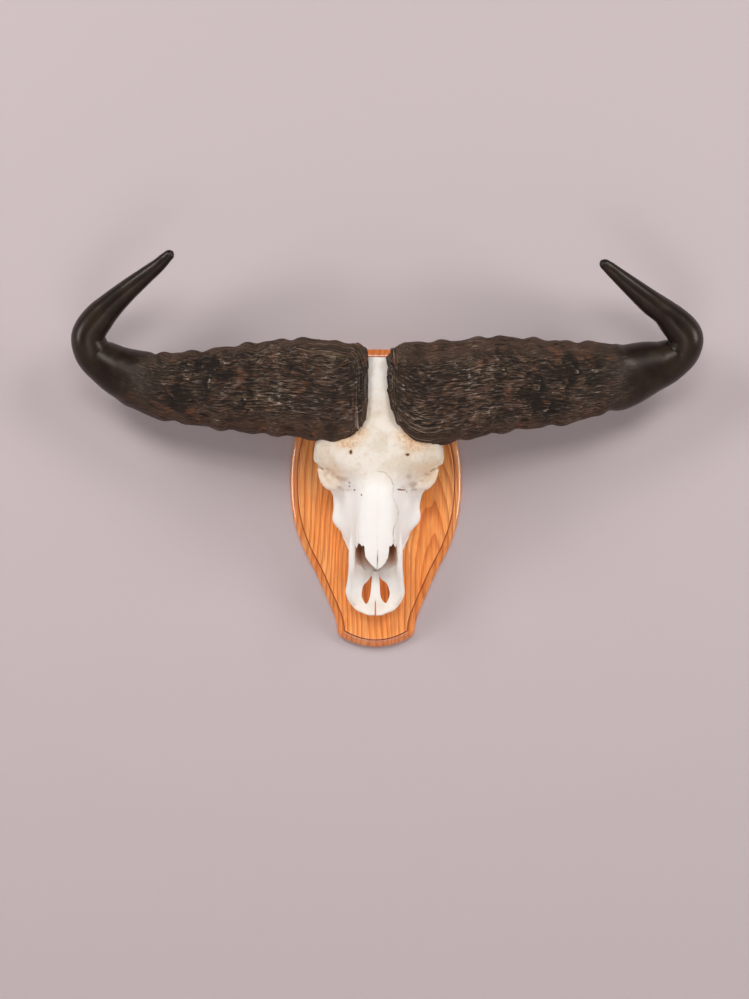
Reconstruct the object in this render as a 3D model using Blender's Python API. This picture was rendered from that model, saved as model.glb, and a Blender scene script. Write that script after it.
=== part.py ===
"""A cape buffalo skull with its two horns, mounted on an oak wall plaque.

Metres, +Z up, +X to the viewer's right; the viewer stands in front, at -Y. The origin is the centre of the
plaque's back face, which lies flat on the wall at y = 0. The tables below are in millimetres. A distance
called "out" is measured out from the wall, so a point with out = 150 lies at y = -0.150.
"""

import math

import bmesh
import bpy
import numpy as np
from mathutils import Vector

MM = 0.001
GAP = 0.5 * MM  # the clearance that separate pieces keep from each other

# The plaque.
PLAQUE_THICK = 20.0
PLAQUE_BOTTOM = -254.0
PLAQUE_TOP_EDGE = ((0, 252), (40, 251), (80, 247.8), (104, 244.8), (116, 241.5), (123, 237))  # (x, z)
PLAQUE_SIDE = ((126, 226), (121, 190), (125, 145), (137, 100), (145, 50), (145, 5), (138, -45), (122, -90),
               (103, -127), (86, -165), (71, -200))
PLAQUE_ANKLE = (67, -214)
PLAQUE_FOOT = (66, -224)  # where the bottom corner's round starts
PLAQUE_CORNER = 16.0
MOULDING = ((0, 0), (0, 8), (1.5, 10.5), (6, 13.6), (12.6, 15), (13.2, 19.4), (14, 20))  # (inset, out)

# The horns, as (x, out, z, half height, half depth) from the forehead to the tip.
HORN_LEFT = (
    (-12, 135, 186, 50, 36), (-26, 135, 177, 69, 45), (-60, 132, 170, 81, 51), (-120, 128, 177, 80, 52),
    (-180, 121, 179, 76, 50), (-240, 111, 179, 69, 47), (-300, 100, 180, 60, 44), (-370, 88, 188, 52, 40),
    (-404, 85, 200, 46, 38), (-440, 86, 218, 38, 34), (-467, 93, 240, 31, 30), (-473, 103, 262, 28, 28),
    (-451, 116, 297, 25, 25), (-436, 122, 311, 22, 22), (-409, 133, 333, 18, 18), (-376, 142, 358, 14, 14),
    (-351, 147, 377, 11, 11), (-338, 151, 388.5, 9, 9), (-331, 152.5, 394.5, 7, 7),
    (-327.5, 153, 397.5, 3, 3),
)
HORN_RIGHT = (
    (17, 135, 205, 31, 34), (26, 135, 191, 50, 39), (41, 134, 177, 71, 45), (70, 132, 170, 83, 50),
    (130, 128, 174, 82, 52), (190, 121, 183, 80, 50), (250, 111, 187, 74, 47), (310, 101, 189, 68, 44),
    (370, 92, 197, 59, 42), (404, 87, 200, 54, 40), (448, 85, 214, 45, 36), (483, 87, 226, 36, 33),
    (504, 94, 241, 30, 30), (509, 104, 260, 29, 29), (485, 116, 291, 25, 25), (473, 122, 301, 22, 22),
    (449, 132, 316, 20, 20), (418, 141, 339, 16, 16), (390, 147, 361, 12, 12), (374, 151, 373.5, 9.5, 9.5),
    (366, 152.5, 379.5, 7, 7), (362.5, 153, 382.5, 3, 3),
)
HORN_RIDGES = 9  # swellings across the rough half of each horn
HORN_RIDGE_HIGH = 2.3
HORN_RIDGE_BEND = 1.3  # how far a ridge's line wanders as it goes round the horn, in radians of its wave
HORN_RIDGE_TURN = 0.7  # how far round the horn that wander starts, in radians
HORN_OFF_BEAT = 1.62  # the weaker swellings to each of the stronger ones
HORN_STRONG, HORN_WEAK = 0.7, 0.5  # how high the two sorts of swelling are, as shares of the ridge height
HORN_ROUGH_END = 0.62  # the share of its length over which a horn is ridged
HORN_ROUGH_FADE = 0.12
HORN_TURN_START = 0.36  # up to here a horn's sections stand upright, and from the second square to its line
HORN_TURN_END = 0.56
HORN_BASE_SQUARE = 0.52  # how square a horn's sections are at its base, where 1 is an oval
HORN_SQUARE_END = 0.26  # the share of its length at which they have become ovals
HORN_STATIONS = 96
HORN_SIDES = 40
HORN_TRIANGLES = 1700

# The skull's half sections at heights z, each from the forehead round the side to the base, as (x, out).
CRANIUM = (
    (227, ((0, 148), (13, 147), (30, 136), (46, 112), (46, 92), (38, 76), (18, 68), (0, 66))),
    (205, ((0, 158), (14, 156), (34, 142), (62, 112), (64, 84), (52, 54), (22, 40), (0, 38))),
    (165, ((0, 164), (15, 162), (38, 146), (64, 114), (60, 84), (44, 50), (20, 30), (0, 28))),
    (120, ((0, 167), (20, 165), (48, 152), (68, 126), (52, 88), (40, 50), (19, 29), (0, 27))),
    (92, ((0, 166), (34, 165), (76, 155), (99, 134), (54, 92), (38, 52), (20, 30), (0, 29))),
    (74, ((0, 164), (36, 164), (78, 154), (103, 130), (56, 94), (38, 54), (22, 34), (0, 35))),
    (58, ((0, 163), (34, 163), (72, 153), (101, 126), (58, 92), (38, 56), (22, 36), (0, 38))),
    (46, ((0, 162), (32, 162), (62, 150), (88, 122), (58, 88), (42, 56), (26, 39), (0, 41))),
    (32, ((0, 161), (28, 160), (54, 144), (74, 114), (58, 82), (48, 56), (30, 42), (0, 44))),
    (8, ((0, 161), (24, 156), (43, 128), (62, 94), (66, 70), (58, 50), (34, 42), (0, 45))),
    (-20, ((0, 157), (25, 152), (40, 118), (60, 84), (72, 66), (62, 46), (34, 40), (0, 44))),
    (-38, ((0, 153), (27, 147), (39, 112), (56, 80), (73, 62), (62, 44), (34, 39), (0, 43))),
    (-60, ((0, 148), (28, 141), (37, 114), (46, 82), (56, 58), (52, 42), (32, 37), (0, 41))),
    (-79, ((0, 134), (27, 129), (36, 111), (41, 85), (45, 58), (42, 42), (30, 36), (0, 39))),
    (-94, ((0, 104), (24, 103), (37, 94), (41, 80), (45, 60), (42, 44), (30, 37), (0, 39))),
    (-115, ((0, 70), (24, 73), (37, 82), (43, 73), (45, 60), (42, 46), (30, 38), (0, 39))),
    (-128, ((0, 64), (22, 64), (37, 74), (44, 68), (46, 58), (43, 45), (30, 38), (0, 39))),
    (-140, ((0, 63), (22, 61), (38, 68), (46, 63), (47, 54), (43, 44), (30, 39), (0, 40))),
    (-163, ((0, 58), (22, 55), (39, 58), (48, 54), (48, 49), (43, 43), (30, 40), (0, 40))),
    (-178, ((0, 54), (20, 51), (33, 52), (41, 50), (41, 47), (36, 43), (25, 40), (0, 40))),
    (-191, ((0, 50), (12, 49), (22, 49), (28, 48), (28, 45), (24, 42), (16, 40), (0, 40))),
    (-198, ((0, 49), (4, 49), (8, 48), (11, 47), (11, 44), (8, 42), (4, 41), (0, 41))),
)
# The nose bones, as (z, half width, out, half thickness).
NASALS = ((38, 8, 156, 4), (26, 17, 156, 5), (10, 22, 155.6, 6), (-9, 23, 153, 6.5), (-41, 26.5, 146.8, 6.8),
          (-61, 28, 142.6, 6.8), (-82, 27, 137.6, 6), (-98, 24, 134.2, 4.8), (-110, 18, 131, 3.6),
          (-121, 9, 127, 2.5))
# The two nose openings, as (x, z) round each: down the nose bones' edge to their tip and up the jaw rail.
NOSE_WINDOW_LEFT = ((-28.5, -74), (-22.9, -79.5), (-18.6, -79), (-17.8, -90), (-17, -97), (-14, -102),
                    (-8, -109), (3.2, -117.5), (3, -123), (-14, -123), (-26, -119), (-33, -112), (-35, -103),
                    (-33.5, -92))
NOSE_WINDOW_RIGHT = ((28, -75), (24.2, -80), (21.2, -80), (20.6, -90), (19.6, -98), (15.5, -106.5),
                     (10, -112.5), (3.2, -117.5), (3.4, -123), (18, -123), (29, -119), (34.5, -112),
                     (36.5, -103), (35, -92))
NOSE_WINDOW_DEPTHS = ((60, 11), (72, 5), (90, 0), (175, 0))  # (out, how far the outer edge is pulled in)
NOSE_WINDOW_PULL = (18, 33)  # from this far off the middle the edge is pulled in, and from the second fully
JAW_RAIL = ((36, 98, -38, 4), (37.5, 98, -62, 5.5), (38, 94, -84, 6.5), (38.5, 84, -114, 6),
            (41, 67, -140, 5), (42, 56, -162, 4.5), (35, 50, -176, 4))
# The inside of the nose, as (z, half width, highest out, lowest out).
NOSE_CAVITY = ((-139, 5, 72, 63), (-131, 13, 80, 59), (-121, 24, 92, 55), (-110, 29, 112, 51),
               (-94, 29, 124, 50), (-80, 26, 124, 51), (-50, 20, 120, 54), (-20, 12, 104, 66))
VOMER = ((0, 57, -140, 5.5), (0, 61, -122, 4.5), (0, 66, -100, 4.5), (0, 70, -80, 5), (0, 74, -50, 6))
PALATE_LEFT = ((-7.2, -131), (-13.9, -139.3), (-20.9, -147.5), (-23.9, -159.5), (-22.9, -168.7),
               (-16.9, -178.2), (-12.9, -173.7), (-9.7, -163.7), (-7.7, -145.3))
PALATE_RIGHT = ((5.8, -131.5), (9.5, -137.3), (17.5, -143.3), (22.5, -155.5), (23, -163.7), (19.5, -173.7),
                (16.5, -177.2), (11.5, -173.7), (7.5, -163.7), (6.3, -145.3))
JAW_SLIT = ((-1.7, -173), (-0.1, -173), (0.8, -202), (-2.4, -202))
SLOT_DEPTH = (30, 75)  # from how far out to how far out the slots in the jaw plates are cut
SLAB_SQUARE = 0.6  # 1 makes the nose bones' sections ovals, and less makes them squarer

# The eye sockets.
SOCKET = (92, 94, 54)
SOCKET_WALL = ((-50, 24), (-24, 33), (-8, 36), (0, 37))  # (distance along the socket's axis, radius)
SOCKET_BOWL = ((-36, 6), (-32, 14), (-18, 23), (-4, 28), (4, 29), (14, 26), (30, 16))
SOCKET_FORWARD = -3.0  # degrees that each socket faces forward of sideways
SOCKET_DOWN = 12.0
BROW = ((80, 140, 96, 8), (96, 131, 88, 7.5), (99.5, 126, 72, 6.5), (100.5, 123, 60, 6), (94, 121, 51, 6),
        (80, 119, 40, 6.5), (66, 116, 28, 8))
LOWER_RIM = ((96, 119, 57, 5.5), (93, 120, 43, 6), (87.5, 119, 29.5, 7.5), (78, 116, 20.5, 8.5),
             (64, 112, 19, 9))
RIM_PLATE = ((88, 119, 50, 6), (83, 118, 38, 8), (73, 114, 30, 9))
EYE_FOOT = ((89, 82, 30, 8), (80, 88, 22, 8), (62, 92, 17, 10))
CHEEK_CREST = ((66, 58, -36, 7), (64, 64, -12, 8), (67, 72, 10, 9), (81, 78, 26, 8))
CHEEK_ARCH = ((84, 78, 34, 11), (90, 66, 66, 8), (86, 62, 100, 7), (74, 64, 134, 9), (60, 70, 156, 12))

# The back of the head.
CONDYLES = ((26, 48, 214, 14), (27, 36, 206, 11))
NAPE_CANAL = ((0, 62, 240, 18), (0, 62, 210, 16), (0, 70, 180, 14))
EAR_BULB = (36, 40, 158, 14)
EAR_SPUR = ((46, 60, 170, 12), (46, 46, 182, 9), (42, 32, 190, 7))
WING = ((30, 52, 34, 9), (24, 34, 52, 7), (21, 30, 78, 7), (18, 34, 104, 9))

# The cheek teeth on each side, as (z, half length, half width, x).
TEETH = ((-80, 8, 7, 40), (-64, 8.5, 8, 46), (-47, 9, 9, 51), (-28, 10.5, 10, 54), (-5, 12, 10, 55),
         (20, 13, 9.5, 54))
TOOTH_ROOT = 50.0
TOOTH_TIP = PLAQUE_THICK
MIDLINE = ((-200, -1.5), (-40, 0.3), (60, 4.4), (230, 4.6))  # (z, how far to the right the midline stands)

SHARP_FROM = 40.0  # degrees: an edge that turns more than this is shaded as a corner

SKULL_VOXEL = 2.6 * MM
SKULL_TRIANGLES = 4500
CRANIUM_RINGS = 64
CAVITY_RINGS = 12
CAVITY_SIDES = 16
SOFTEN = (0.5, 2)  # how far each corner moves to its neighbours' middle, and how often

OAK = ((0.50, 0.22, 0.07), 0.35)  # (colour, roughness)
BONE = ((0.86, 0.80, 0.70), 0.6)
KERATIN = ((0.035, 0.027, 0.022), 0.55)


def clear_scene():
    for old in list(bpy.data.objects):
        bpy.data.objects.remove(old, do_unlink=True)


def material(name, colour, roughness):
    made = bpy.data.materials.new(name)
    made.use_nodes = True
    shader = made.node_tree.nodes["Principled BSDF"]
    shader.inputs["Base Color"].default_value = (*colour, 1.0)
    shader.inputs["Roughness"].default_value = roughness
    shader.inputs["Metallic"].default_value = 0.0
    return made


def object_of(shape, name, finish=None):
    """The bmesh as an object in the scene, with its faces turned outwards."""
    bmesh.ops.recalc_face_normals(shape, faces=shape.faces)
    mesh = bpy.data.meshes.new(name)
    shape.to_mesh(mesh)
    shape.free()
    made = bpy.data.objects.new(name, mesh)
    bpy.context.scene.collection.objects.link(made)
    if finish:
        mesh.materials.append(finish)
    return made


def along(rows, count):
    """A smooth curve through the rows, as count rows evenly spread by the first three columns' length."""
    rows = np.array(rows, float)
    lengths = np.linalg.norm(np.diff(rows[:, :3], axis=0), axis=1)
    places = np.concatenate([[0.0], np.cumsum(lengths)])
    slopes = np.gradient(rows, places, axis=0)
    wanted = np.linspace(0.0, places[-1], count)
    index = np.clip(np.searchsorted(places, wanted, side="right") - 1, 0, len(rows) - 2)
    span = (places[index + 1] - places[index])[:, None]
    t = (wanted - places[index])[:, None] / span
    start = (2 * t**3 - 3 * t**2 + 1) * rows[index] + (t**3 - 2 * t**2 + t) * span * slopes[index]
    end = (3 * t**2 - 2 * t**3) * rows[index + 1] + (t**3 - t**2) * span * slopes[index + 1]
    return start + end


def closed_curve(points, per_span):
    """A smooth closed curve through the points."""
    points = np.array(points, float)
    before, after, beyond = (np.roll(points, shift, axis=0) for shift in (1, -1, -2))
    curve = []
    bend = 2 * before - 5 * points + 4 * after - beyond
    twist = 3 * points - before - 3 * after + beyond
    for step in range(per_span):
        t = step / per_span
        curve.append(0.5 * (2 * points + (after - before) * t + bend * t**2 + twist * t**3))
    return np.stack(curve, axis=1).reshape(-1, points.shape[1])


def add_rings(shape, rings):
    """A closed skin through the rings, which all have as many points, with a flat cap on each end."""
    made = [[shape.verts.new(Vector(point) * MM) for point in ring] for ring in rings]
    for ring, following in zip(made, made[1:]):
        for i, corner in enumerate(ring):
            j = (i + 1) % len(ring)
            shape.faces.new((corner, ring[j], following[j], following[i]))
    shape.faces.new(reversed(made[0]))
    shape.faces.new(made[-1])


def squared(wave, power):
    """A sine or cosine brought nearer to a square wave by a power below 1."""
    return math.copysign(abs(wave) ** power, wave)


def around(count):
    """Evenly spaced angles once round."""
    return np.linspace(0, math.tau, count + 1)[:-1]


def add_rod(shape, rows, sides=12, count=9):
    """A round rod through rows of (x, out, z, radius), with rounded ends."""
    path = along(rows, count)
    spots = path[:, :3] * (1, -1, 1)
    headings = np.gradient(spots, axis=0)
    rings = []
    for spot, heading, radius in zip(spots, headings, path[:, 3]):
        turn = Vector(heading).to_track_quat("Z", "Y")
        ways = [turn @ Vector((math.cos(a), math.sin(a), 0)) for a in around(sides)]
        rings.append([spot + radius * np.array(way) for way in ways])
    add_rings(shape, rings)
    for spot, radius in ((spots[0], path[0, 3]), (spots[-1], path[-1, 3])):
        add_ball(shape, spot * (1, -1, 1), (radius, radius, radius))


def add_ball(shape, centre, radii):
    """An ellipsoid at (x, out, z)."""
    made = bmesh.ops.create_icosphere(shape, subdivisions=2, radius=MM)["verts"]
    bmesh.ops.scale(shape, vec=radii, verts=made)
    bmesh.ops.translate(shape, vec=Vector((centre[0], -centre[1], centre[2])) * MM, verts=made)


def add_slabs(shape, rows, sides=16):
    """A flattened body through rows of (z, half width, out, half thickness), lying across the midline."""
    rings = []
    for z, width, out, thick in along([(row[0], 0, 0, *row) for row in rows], 3 * len(rows))[:, 3:]:
        rings.append([(width * squared(math.cos(a), SLAB_SQUARE), -out + thick * math.sin(a), z)
                      for a in around(sides)])
    add_rings(shape, rings)


def both_sides(rows):
    """The rows, and the rows with their x turned to the other side."""
    flat = np.array(rows, float)
    other = flat.copy()
    other[..., 0] *= -1
    return flat, other


def plaque_outline():
    """The plaque's outer edge, anticlockwise from the middle of the top, as (x, z) points in millimetres."""
    side = along([(x, z, 0) for x, z in PLAQUE_SIDE], 24)[:, :2]
    foot_x, foot_z = PLAQUE_FOOT
    half = [*PLAQUE_TOP_EDGE, *(tuple(point) for point in side), PLAQUE_ANKLE]
    for turn in np.radians((0, -22, -44, -66)):
        centre_x, centre_z = foot_x - PLAQUE_CORNER, foot_z
        half.append((centre_x + PLAQUE_CORNER * math.cos(turn), centre_z + PLAQUE_CORNER * math.sin(turn)))
    drop = half[-1][1] - PLAQUE_BOTTOM
    half += [(half[-1][0] * share, PLAQUE_BOTTOM + drop * share**2) for share in (0.75, 0.5, 0.25)]
    half.append((0, PLAQUE_BOTTOM))
    left = [(-x, z) for x, z in reversed(half[1:-1])]
    return np.array(half + left, float)


def inset(outline, distance):
    """The outline moved inwards by a distance, corners staying corners."""
    before = outline - np.roll(outline, 1, axis=0)
    after = np.roll(outline, -1, axis=0) - outline
    inwards = []
    for edge in (before, after):
        unit = edge / np.linalg.norm(edge, axis=1, keepdims=True)
        inwards.append(np.stack([unit[:, 1], -unit[:, 0]], axis=1))
    middle = inwards[0] + inwards[1]
    return outline + distance * 2 * middle / (middle * middle).sum(axis=1, keepdims=True)


def make_plaque():
    outline = plaque_outline()
    rings = []
    for inwards, out in MOULDING:
        ring = inset(outline, inwards)
        rings.append([(x, -out, z) for x, z in ring])
    shape = bmesh.new()
    add_rings(shape, rings)
    return object_of(shape, "plaque", material("oak", *OAK))


def horn_rings(rows):
    """The horn's sections, squarish at the base and oval further out, swollen by the growth ridges."""
    path = along(rows, HORN_STATIONS)
    spots = path[:, :3] * (1, -1, 1)
    outwards = np.sign(rows[1][0] - rows[0][0])
    share = np.linspace(0, 1, HORN_STATIONS)
    rough = np.clip((HORN_ROUGH_END - share) / HORN_ROUGH_FADE, 0, 1)
    turned = np.clip((share - HORN_TURN_START) / (HORN_TURN_END - HORN_TURN_START), 0, 1)[:, None]
    tangents = np.gradient(spots, axis=0)
    tangents /= np.linalg.norm(tangents, axis=1, keepdims=True)
    headings = (1 - turned) * (outwards, 0, 0) + turned * tangents
    rings = []
    for k, (spot, heading) in enumerate(zip(spots, headings)):
        heading = heading / np.linalg.norm(heading)
        rise = np.cross(heading, (0, 1, 0))
        rise /= np.linalg.norm(rise)
        depth = np.cross(heading, rise)
        power = HORN_BASE_SQUARE + (1 - HORN_BASE_SQUARE) * min(share[k] / HORN_SQUARE_END, 1.0)
        ring = []
        turns = math.tau * HORN_RIDGES * share[k] / HORN_ROUGH_END
        for angle in around(HORN_SIDES):
            strong = HORN_STRONG * math.sin(turns + HORN_RIDGE_BEND * math.sin(2 * angle + HORN_RIDGE_TURN))
            weak = HORN_WEAK * math.sin(HORN_OFF_BEAT * turns + angle)
            swell = 1 + rough[k] * HORN_RIDGE_HIGH * (strong + weak) / path[k, 3]
            high = path[k, 3] * squared(math.cos(angle), power)
            deep = path[k, 4] * squared(math.sin(angle), power)
            ring.append(spot + swell * (high * rise + deep * depth))
        rings.append(ring)
    return rings


def round_off(thing):
    """Shades the object smooth, but for its real corners."""
    thing.data.shade_smooth()
    thing.data.set_sharp_from_angle(angle=math.radians(SHARP_FROM))


def thin_out(thing, triangles):
    """Adds a Decimate that brings the object to about this many triangles."""
    graph = bpy.context.evaluated_depsgraph_get()
    now = thing.evaluated_get(graph).data
    now.calc_loop_triangles()
    fewer = thing.modifiers.new("fewer faces", "DECIMATE")
    fewer.ratio = min(1.0, triangles / len(now.loop_triangles))


def settle(thing):
    """Replaces the object's mesh by what its modifiers make of it."""
    graph = bpy.context.evaluated_depsgraph_get()
    made = bpy.data.meshes.new_from_object(thing.evaluated_get(graph))
    thing.modifiers.clear()
    thing.data = made


def subtract(thing, cutter):
    cutter.hide_render = True
    cutter.display_type = "WIRE"
    cut = thing.modifiers.new("cut " + cutter.name, "BOOLEAN")
    cut.operation = "DIFFERENCE"
    cut.solver = "MANIFOLD"
    cut.object = cutter


def keep_largest_body(thing):
    """Deletes the crumbs that a cut leaves beside the main body."""
    shape = bmesh.new()
    shape.from_mesh(thing.data)
    waiting = set(shape.verts)
    bodies = []
    while waiting:
        body = {waiting.pop()}
        edge = list(body)
        while edge:
            corner = edge.pop()
            near = {side.other_vert(corner) for side in corner.link_edges} - body
            body |= near
            edge += list(near)
        waiting -= body
        bodies.append(body)
    largest = max(bodies, key=len)
    crumbs = [corner for corner in shape.verts if corner not in largest]
    bmesh.ops.delete(shape, geom=crumbs, context="VERTS")
    shape.to_mesh(thing.data)
    shape.free()


def add_cranium(shape):
    """The braincase, forehead, nose roof and upper jaws, as one body through the half sections."""
    heights = np.array([row[0] for row in CRANIUM], float)
    halves = np.array([row[1] for row in CRANIUM], float)
    flat = halves.reshape(len(CRANIUM), -1)
    rows = np.concatenate([np.zeros((len(CRANIUM), 2)), heights[:, None], flat], axis=1)
    rings = []
    for row in along(rows, CRANIUM_RINGS):
        half = row[3:].reshape(-1, 2)
        other = half[-2:0:-1] * (-1, 1)
        outline = closed_curve(np.concatenate([half, other]), 3)
        rings.append([(x, -out, row[2]) for x, out in outline])
    add_rings(shape, rings)


def socket_axis(side):
    """The middle of an eye socket's rim, and the way it faces."""
    x, out, z = SOCKET
    forward, down = math.radians(SOCKET_FORWARD), math.radians(SOCKET_DOWN)
    way = (side * math.cos(forward) * math.cos(down), math.sin(forward) * math.cos(down), -math.sin(down))
    return np.array((side * x, out, z)), np.array(way)


def add_turned(shape, centre, way, profile, sides=22):
    """A turned solid about a line, through (distance along it, radius) pairs, with flat ends."""
    turn = Vector((way[0], -way[1], way[2])).to_track_quat("Z", "Y")
    rings = []
    for distance, radius in profile:
        x, out, z = centre + distance * way
        ways = [turn @ Vector((math.cos(a), math.sin(a), 0)) for a in around(sides)]
        rings.append([np.array((x, -out, z)) + radius * np.array(w) for w in ways])
    add_rings(shape, rings)


def add_sockets(shape):
    for side in (-1, 1):
        centre, way = socket_axis(side)
        add_turned(shape, centre, way, SOCKET_WALL)


def socket_cutters(shape):
    for side in (-1, 1):
        centre, way = socket_axis(side)
        add_turned(shape, centre, way, SOCKET_BOWL)


def add_teeth(shape):
    for side in (-1, 1):
        for z, length, width, x in TEETH:
            near, far = side * x - width, side * x + width
            corners = ((near, z - length), (far, z - length), (far, z + length), (near, z + length))
            add_rings(shape, [[(a, -out, b) for a, b in corners] for out in (TOOTH_TIP, TOOTH_ROOT)])


def skull_solids():
    shape = bmesh.new()
    add_cranium(shape)
    add_sockets(shape)
    add_slabs(shape, NASALS)
    for rows in (JAW_RAIL, BROW, LOWER_RIM, RIM_PLATE, EYE_FOOT, CHEEK_CREST, CHEEK_ARCH, EAR_SPUR, WING):
        for way in both_sides(rows):
            add_rod(shape, way)
    for ball in (*CONDYLES, EAR_BULB):
        x, out, z, radius = ball
        for side in (-1, 1):
            add_ball(shape, (side * x, out, z), (radius, radius, 1.2 * radius))
    add_teeth(shape)
    return object_of(shape, "skull", material("bone", *BONE))


def hollow_cutters():
    """The eye sockets, the inside of the nose and the canal at the nape."""
    shape = bmesh.new()
    socket_cutters(shape)
    rings = []
    for z, width, high, low in along([(row[0], 0, 0, *row) for row in NOSE_CAVITY], CAVITY_RINGS)[:, 3:]:
        middle, half = (high + low) / 2, (high - low) / 2
        rings.append([(width * math.cos(a), -middle + half * math.sin(a), z) for a in around(CAVITY_SIDES)])
    add_rings(shape, rings)
    add_rod(shape, NAPE_CANAL)
    return object_of(shape, "hollow cutters")


def opening_cutters():
    """The crisp openings of the face: the two nose windows, and the slots and the slit in the jaw plates."""
    shape = bmesh.new()
    pull_from, pull_to = NOSE_WINDOW_PULL
    for window in (NOSE_WINDOW_LEFT, NOSE_WINDOW_RIGHT):
        rings = []
        for out, pull in NOSE_WINDOW_DEPTHS:
            ring = []
            for x, z in window:
                share = min(max((abs(x) - pull_from) / (pull_to - pull_from), 0), 1)
                ring.append((x - math.copysign(pull * share, x), -out, z))
            rings.append(ring)
        add_rings(shape, rings)
    for slot in (PALATE_LEFT, PALATE_RIGHT, JAW_SLIT):
        add_rings(shape, [[(x, -out, z) for x, z in slot] for out in SLOT_DEPTH])
    return object_of(shape, "opening cutters")


def add_vomer(thing):
    """Adds the thin bone that stands along the floor of the nose."""
    shape = bmesh.new()
    shape.from_mesh(thing.data)
    add_rod(shape, VOMER)
    shape.to_mesh(thing.data)
    shape.free()


def lean_midline(thing):
    heights, shifts = np.array(MIDLINE).T * MM
    for corner in thing.data.vertices:
        corner.co.x += np.interp(corner.co.z, heights, shifts)


def rest_on_plaque(thing):
    """Flattens what comes too near the plaque's face, so that the skull lies against it."""
    nearest = -PLAQUE_THICK * MM - GAP
    for corner in thing.data.vertices:
        corner.co.y = min(corner.co.y, nearest)


def fuse(thing, voxel):
    fused = thing.modifiers.new("fuse", "REMESH")
    fused.mode = "VOXEL"
    fused.voxel_size = voxel


def make_skull():
    skull = skull_solids()
    hollows = hollow_cutters()
    fuse(skull, SKULL_VOXEL)
    settle(skull)
    fuse(hollows, SKULL_VOXEL / 2)
    settle(hollows)
    subtract(skull, hollows)
    settle(skull)
    add_vomer(skull)
    fuse(skull, SKULL_VOXEL)
    soften = skull.modifiers.new("soften", "SMOOTH")
    soften.factor, soften.iterations = SOFTEN
    settle(skull)
    lean_midline(skull)
    openings = opening_cutters()
    subtract(skull, openings)
    settle(skull)
    thin_out(skull, SKULL_TRIANGLES)
    settle(skull)
    keep_largest_body(skull)
    rest_on_plaque(skull)
    for cutter in (hollows, openings):
        bpy.data.objects.remove(cutter, do_unlink=True)
    return skull


def swollen_copy(thing, by):
    """A cutter of the same shape, larger all round by this much."""
    shape = bmesh.new()
    shape.from_mesh(thing.data)
    shape.normal_update()
    moves = [(corner, corner.normal * by * min(corner.calc_shell_factor(), 2.0)) for corner in shape.verts]
    for corner, move in moves:
        corner.co += move
    return object_of(shape, thing.name + " cutter")


def make_horn(name, rows, cutter):
    shape = bmesh.new()
    add_rings(shape, horn_rings(rows))
    horn = object_of(shape, name, material(name + " keratin", *KERATIN))
    thin_out(horn, HORN_TRIANGLES)
    settle(horn)
    subtract(horn, cutter)
    settle(horn)
    keep_largest_body(horn)
    return horn


def main():
    clear_scene()
    skull = make_skull()
    cutter = swollen_copy(skull, GAP)
    horns = [make_horn("horn_left", HORN_LEFT, cutter), make_horn("horn_right", HORN_RIGHT, cutter)]
    bpy.data.objects.remove(cutter, do_unlink=True)
    for thing in (make_plaque(), skull, *horns):
        round_off(thing)


main()
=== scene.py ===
"""The looks of a cape buffalo skull with its horns, mounted on an oak plaque.

Metres, +Z up, +X to the viewer's right; the viewer stands in front, at -Y. The plaque's back lies on the
wall at y = 0. The tables are in millimetres, and "out" is the distance out from the wall, so out = 150 is
y = -0.150.
"""

import math

import bmesh
import bpy
import numpy as np
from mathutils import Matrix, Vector
from mathutils.bvhtree import BVHTree


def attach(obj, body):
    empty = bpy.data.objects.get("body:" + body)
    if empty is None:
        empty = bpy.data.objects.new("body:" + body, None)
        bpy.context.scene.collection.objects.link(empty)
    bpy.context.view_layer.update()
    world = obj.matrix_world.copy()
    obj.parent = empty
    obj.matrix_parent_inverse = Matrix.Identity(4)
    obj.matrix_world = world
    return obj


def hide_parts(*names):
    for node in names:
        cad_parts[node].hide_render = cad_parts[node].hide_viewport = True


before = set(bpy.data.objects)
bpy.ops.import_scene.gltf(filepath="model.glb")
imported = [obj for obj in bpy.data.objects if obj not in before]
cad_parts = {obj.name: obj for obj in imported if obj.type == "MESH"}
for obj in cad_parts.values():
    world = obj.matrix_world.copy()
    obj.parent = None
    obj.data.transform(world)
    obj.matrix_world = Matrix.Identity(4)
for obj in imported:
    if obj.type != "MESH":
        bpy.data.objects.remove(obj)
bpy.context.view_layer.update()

MM = 0.001
ORIGIN = (0.0, 0.0, 0.0)

# The plaque.
PLAQUE_THICK = 20.0
PLAQUE_BOTTOM = -254.0
PLAQUE_TOP_EDGE = ((0, 252), (40, 251), (80, 247.8), (104, 244.8), (116, 241.5), (123, 237))  # (x, z)
PLAQUE_SIDE = ((126, 226), (121, 190), (125, 145), (137, 100), (145, 50), (145, 5), (138, -45), (122, -90),
               (103, -127), (86, -165), (71, -200))
PLAQUE_ANKLE = (67, -214)
PLAQUE_FOOT = (66, -224)  # where the bottom corner's round starts
PLAQUE_CORNER = 16.0
PLAQUE_CORNER_TURNS = np.linspace(0, -66, 10)  # in degrees
PLAQUE_BASE_SHARES = np.linspace(0.94, 0, 17)  # shares of the bottom edge's half width
PLAQUE_TOP_STEPS, PLAQUE_SIDE_STEPS = 30, 90
PLAQUE_SHARP = 32.0  # edges that turn by more degrees than this stay crisp
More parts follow.
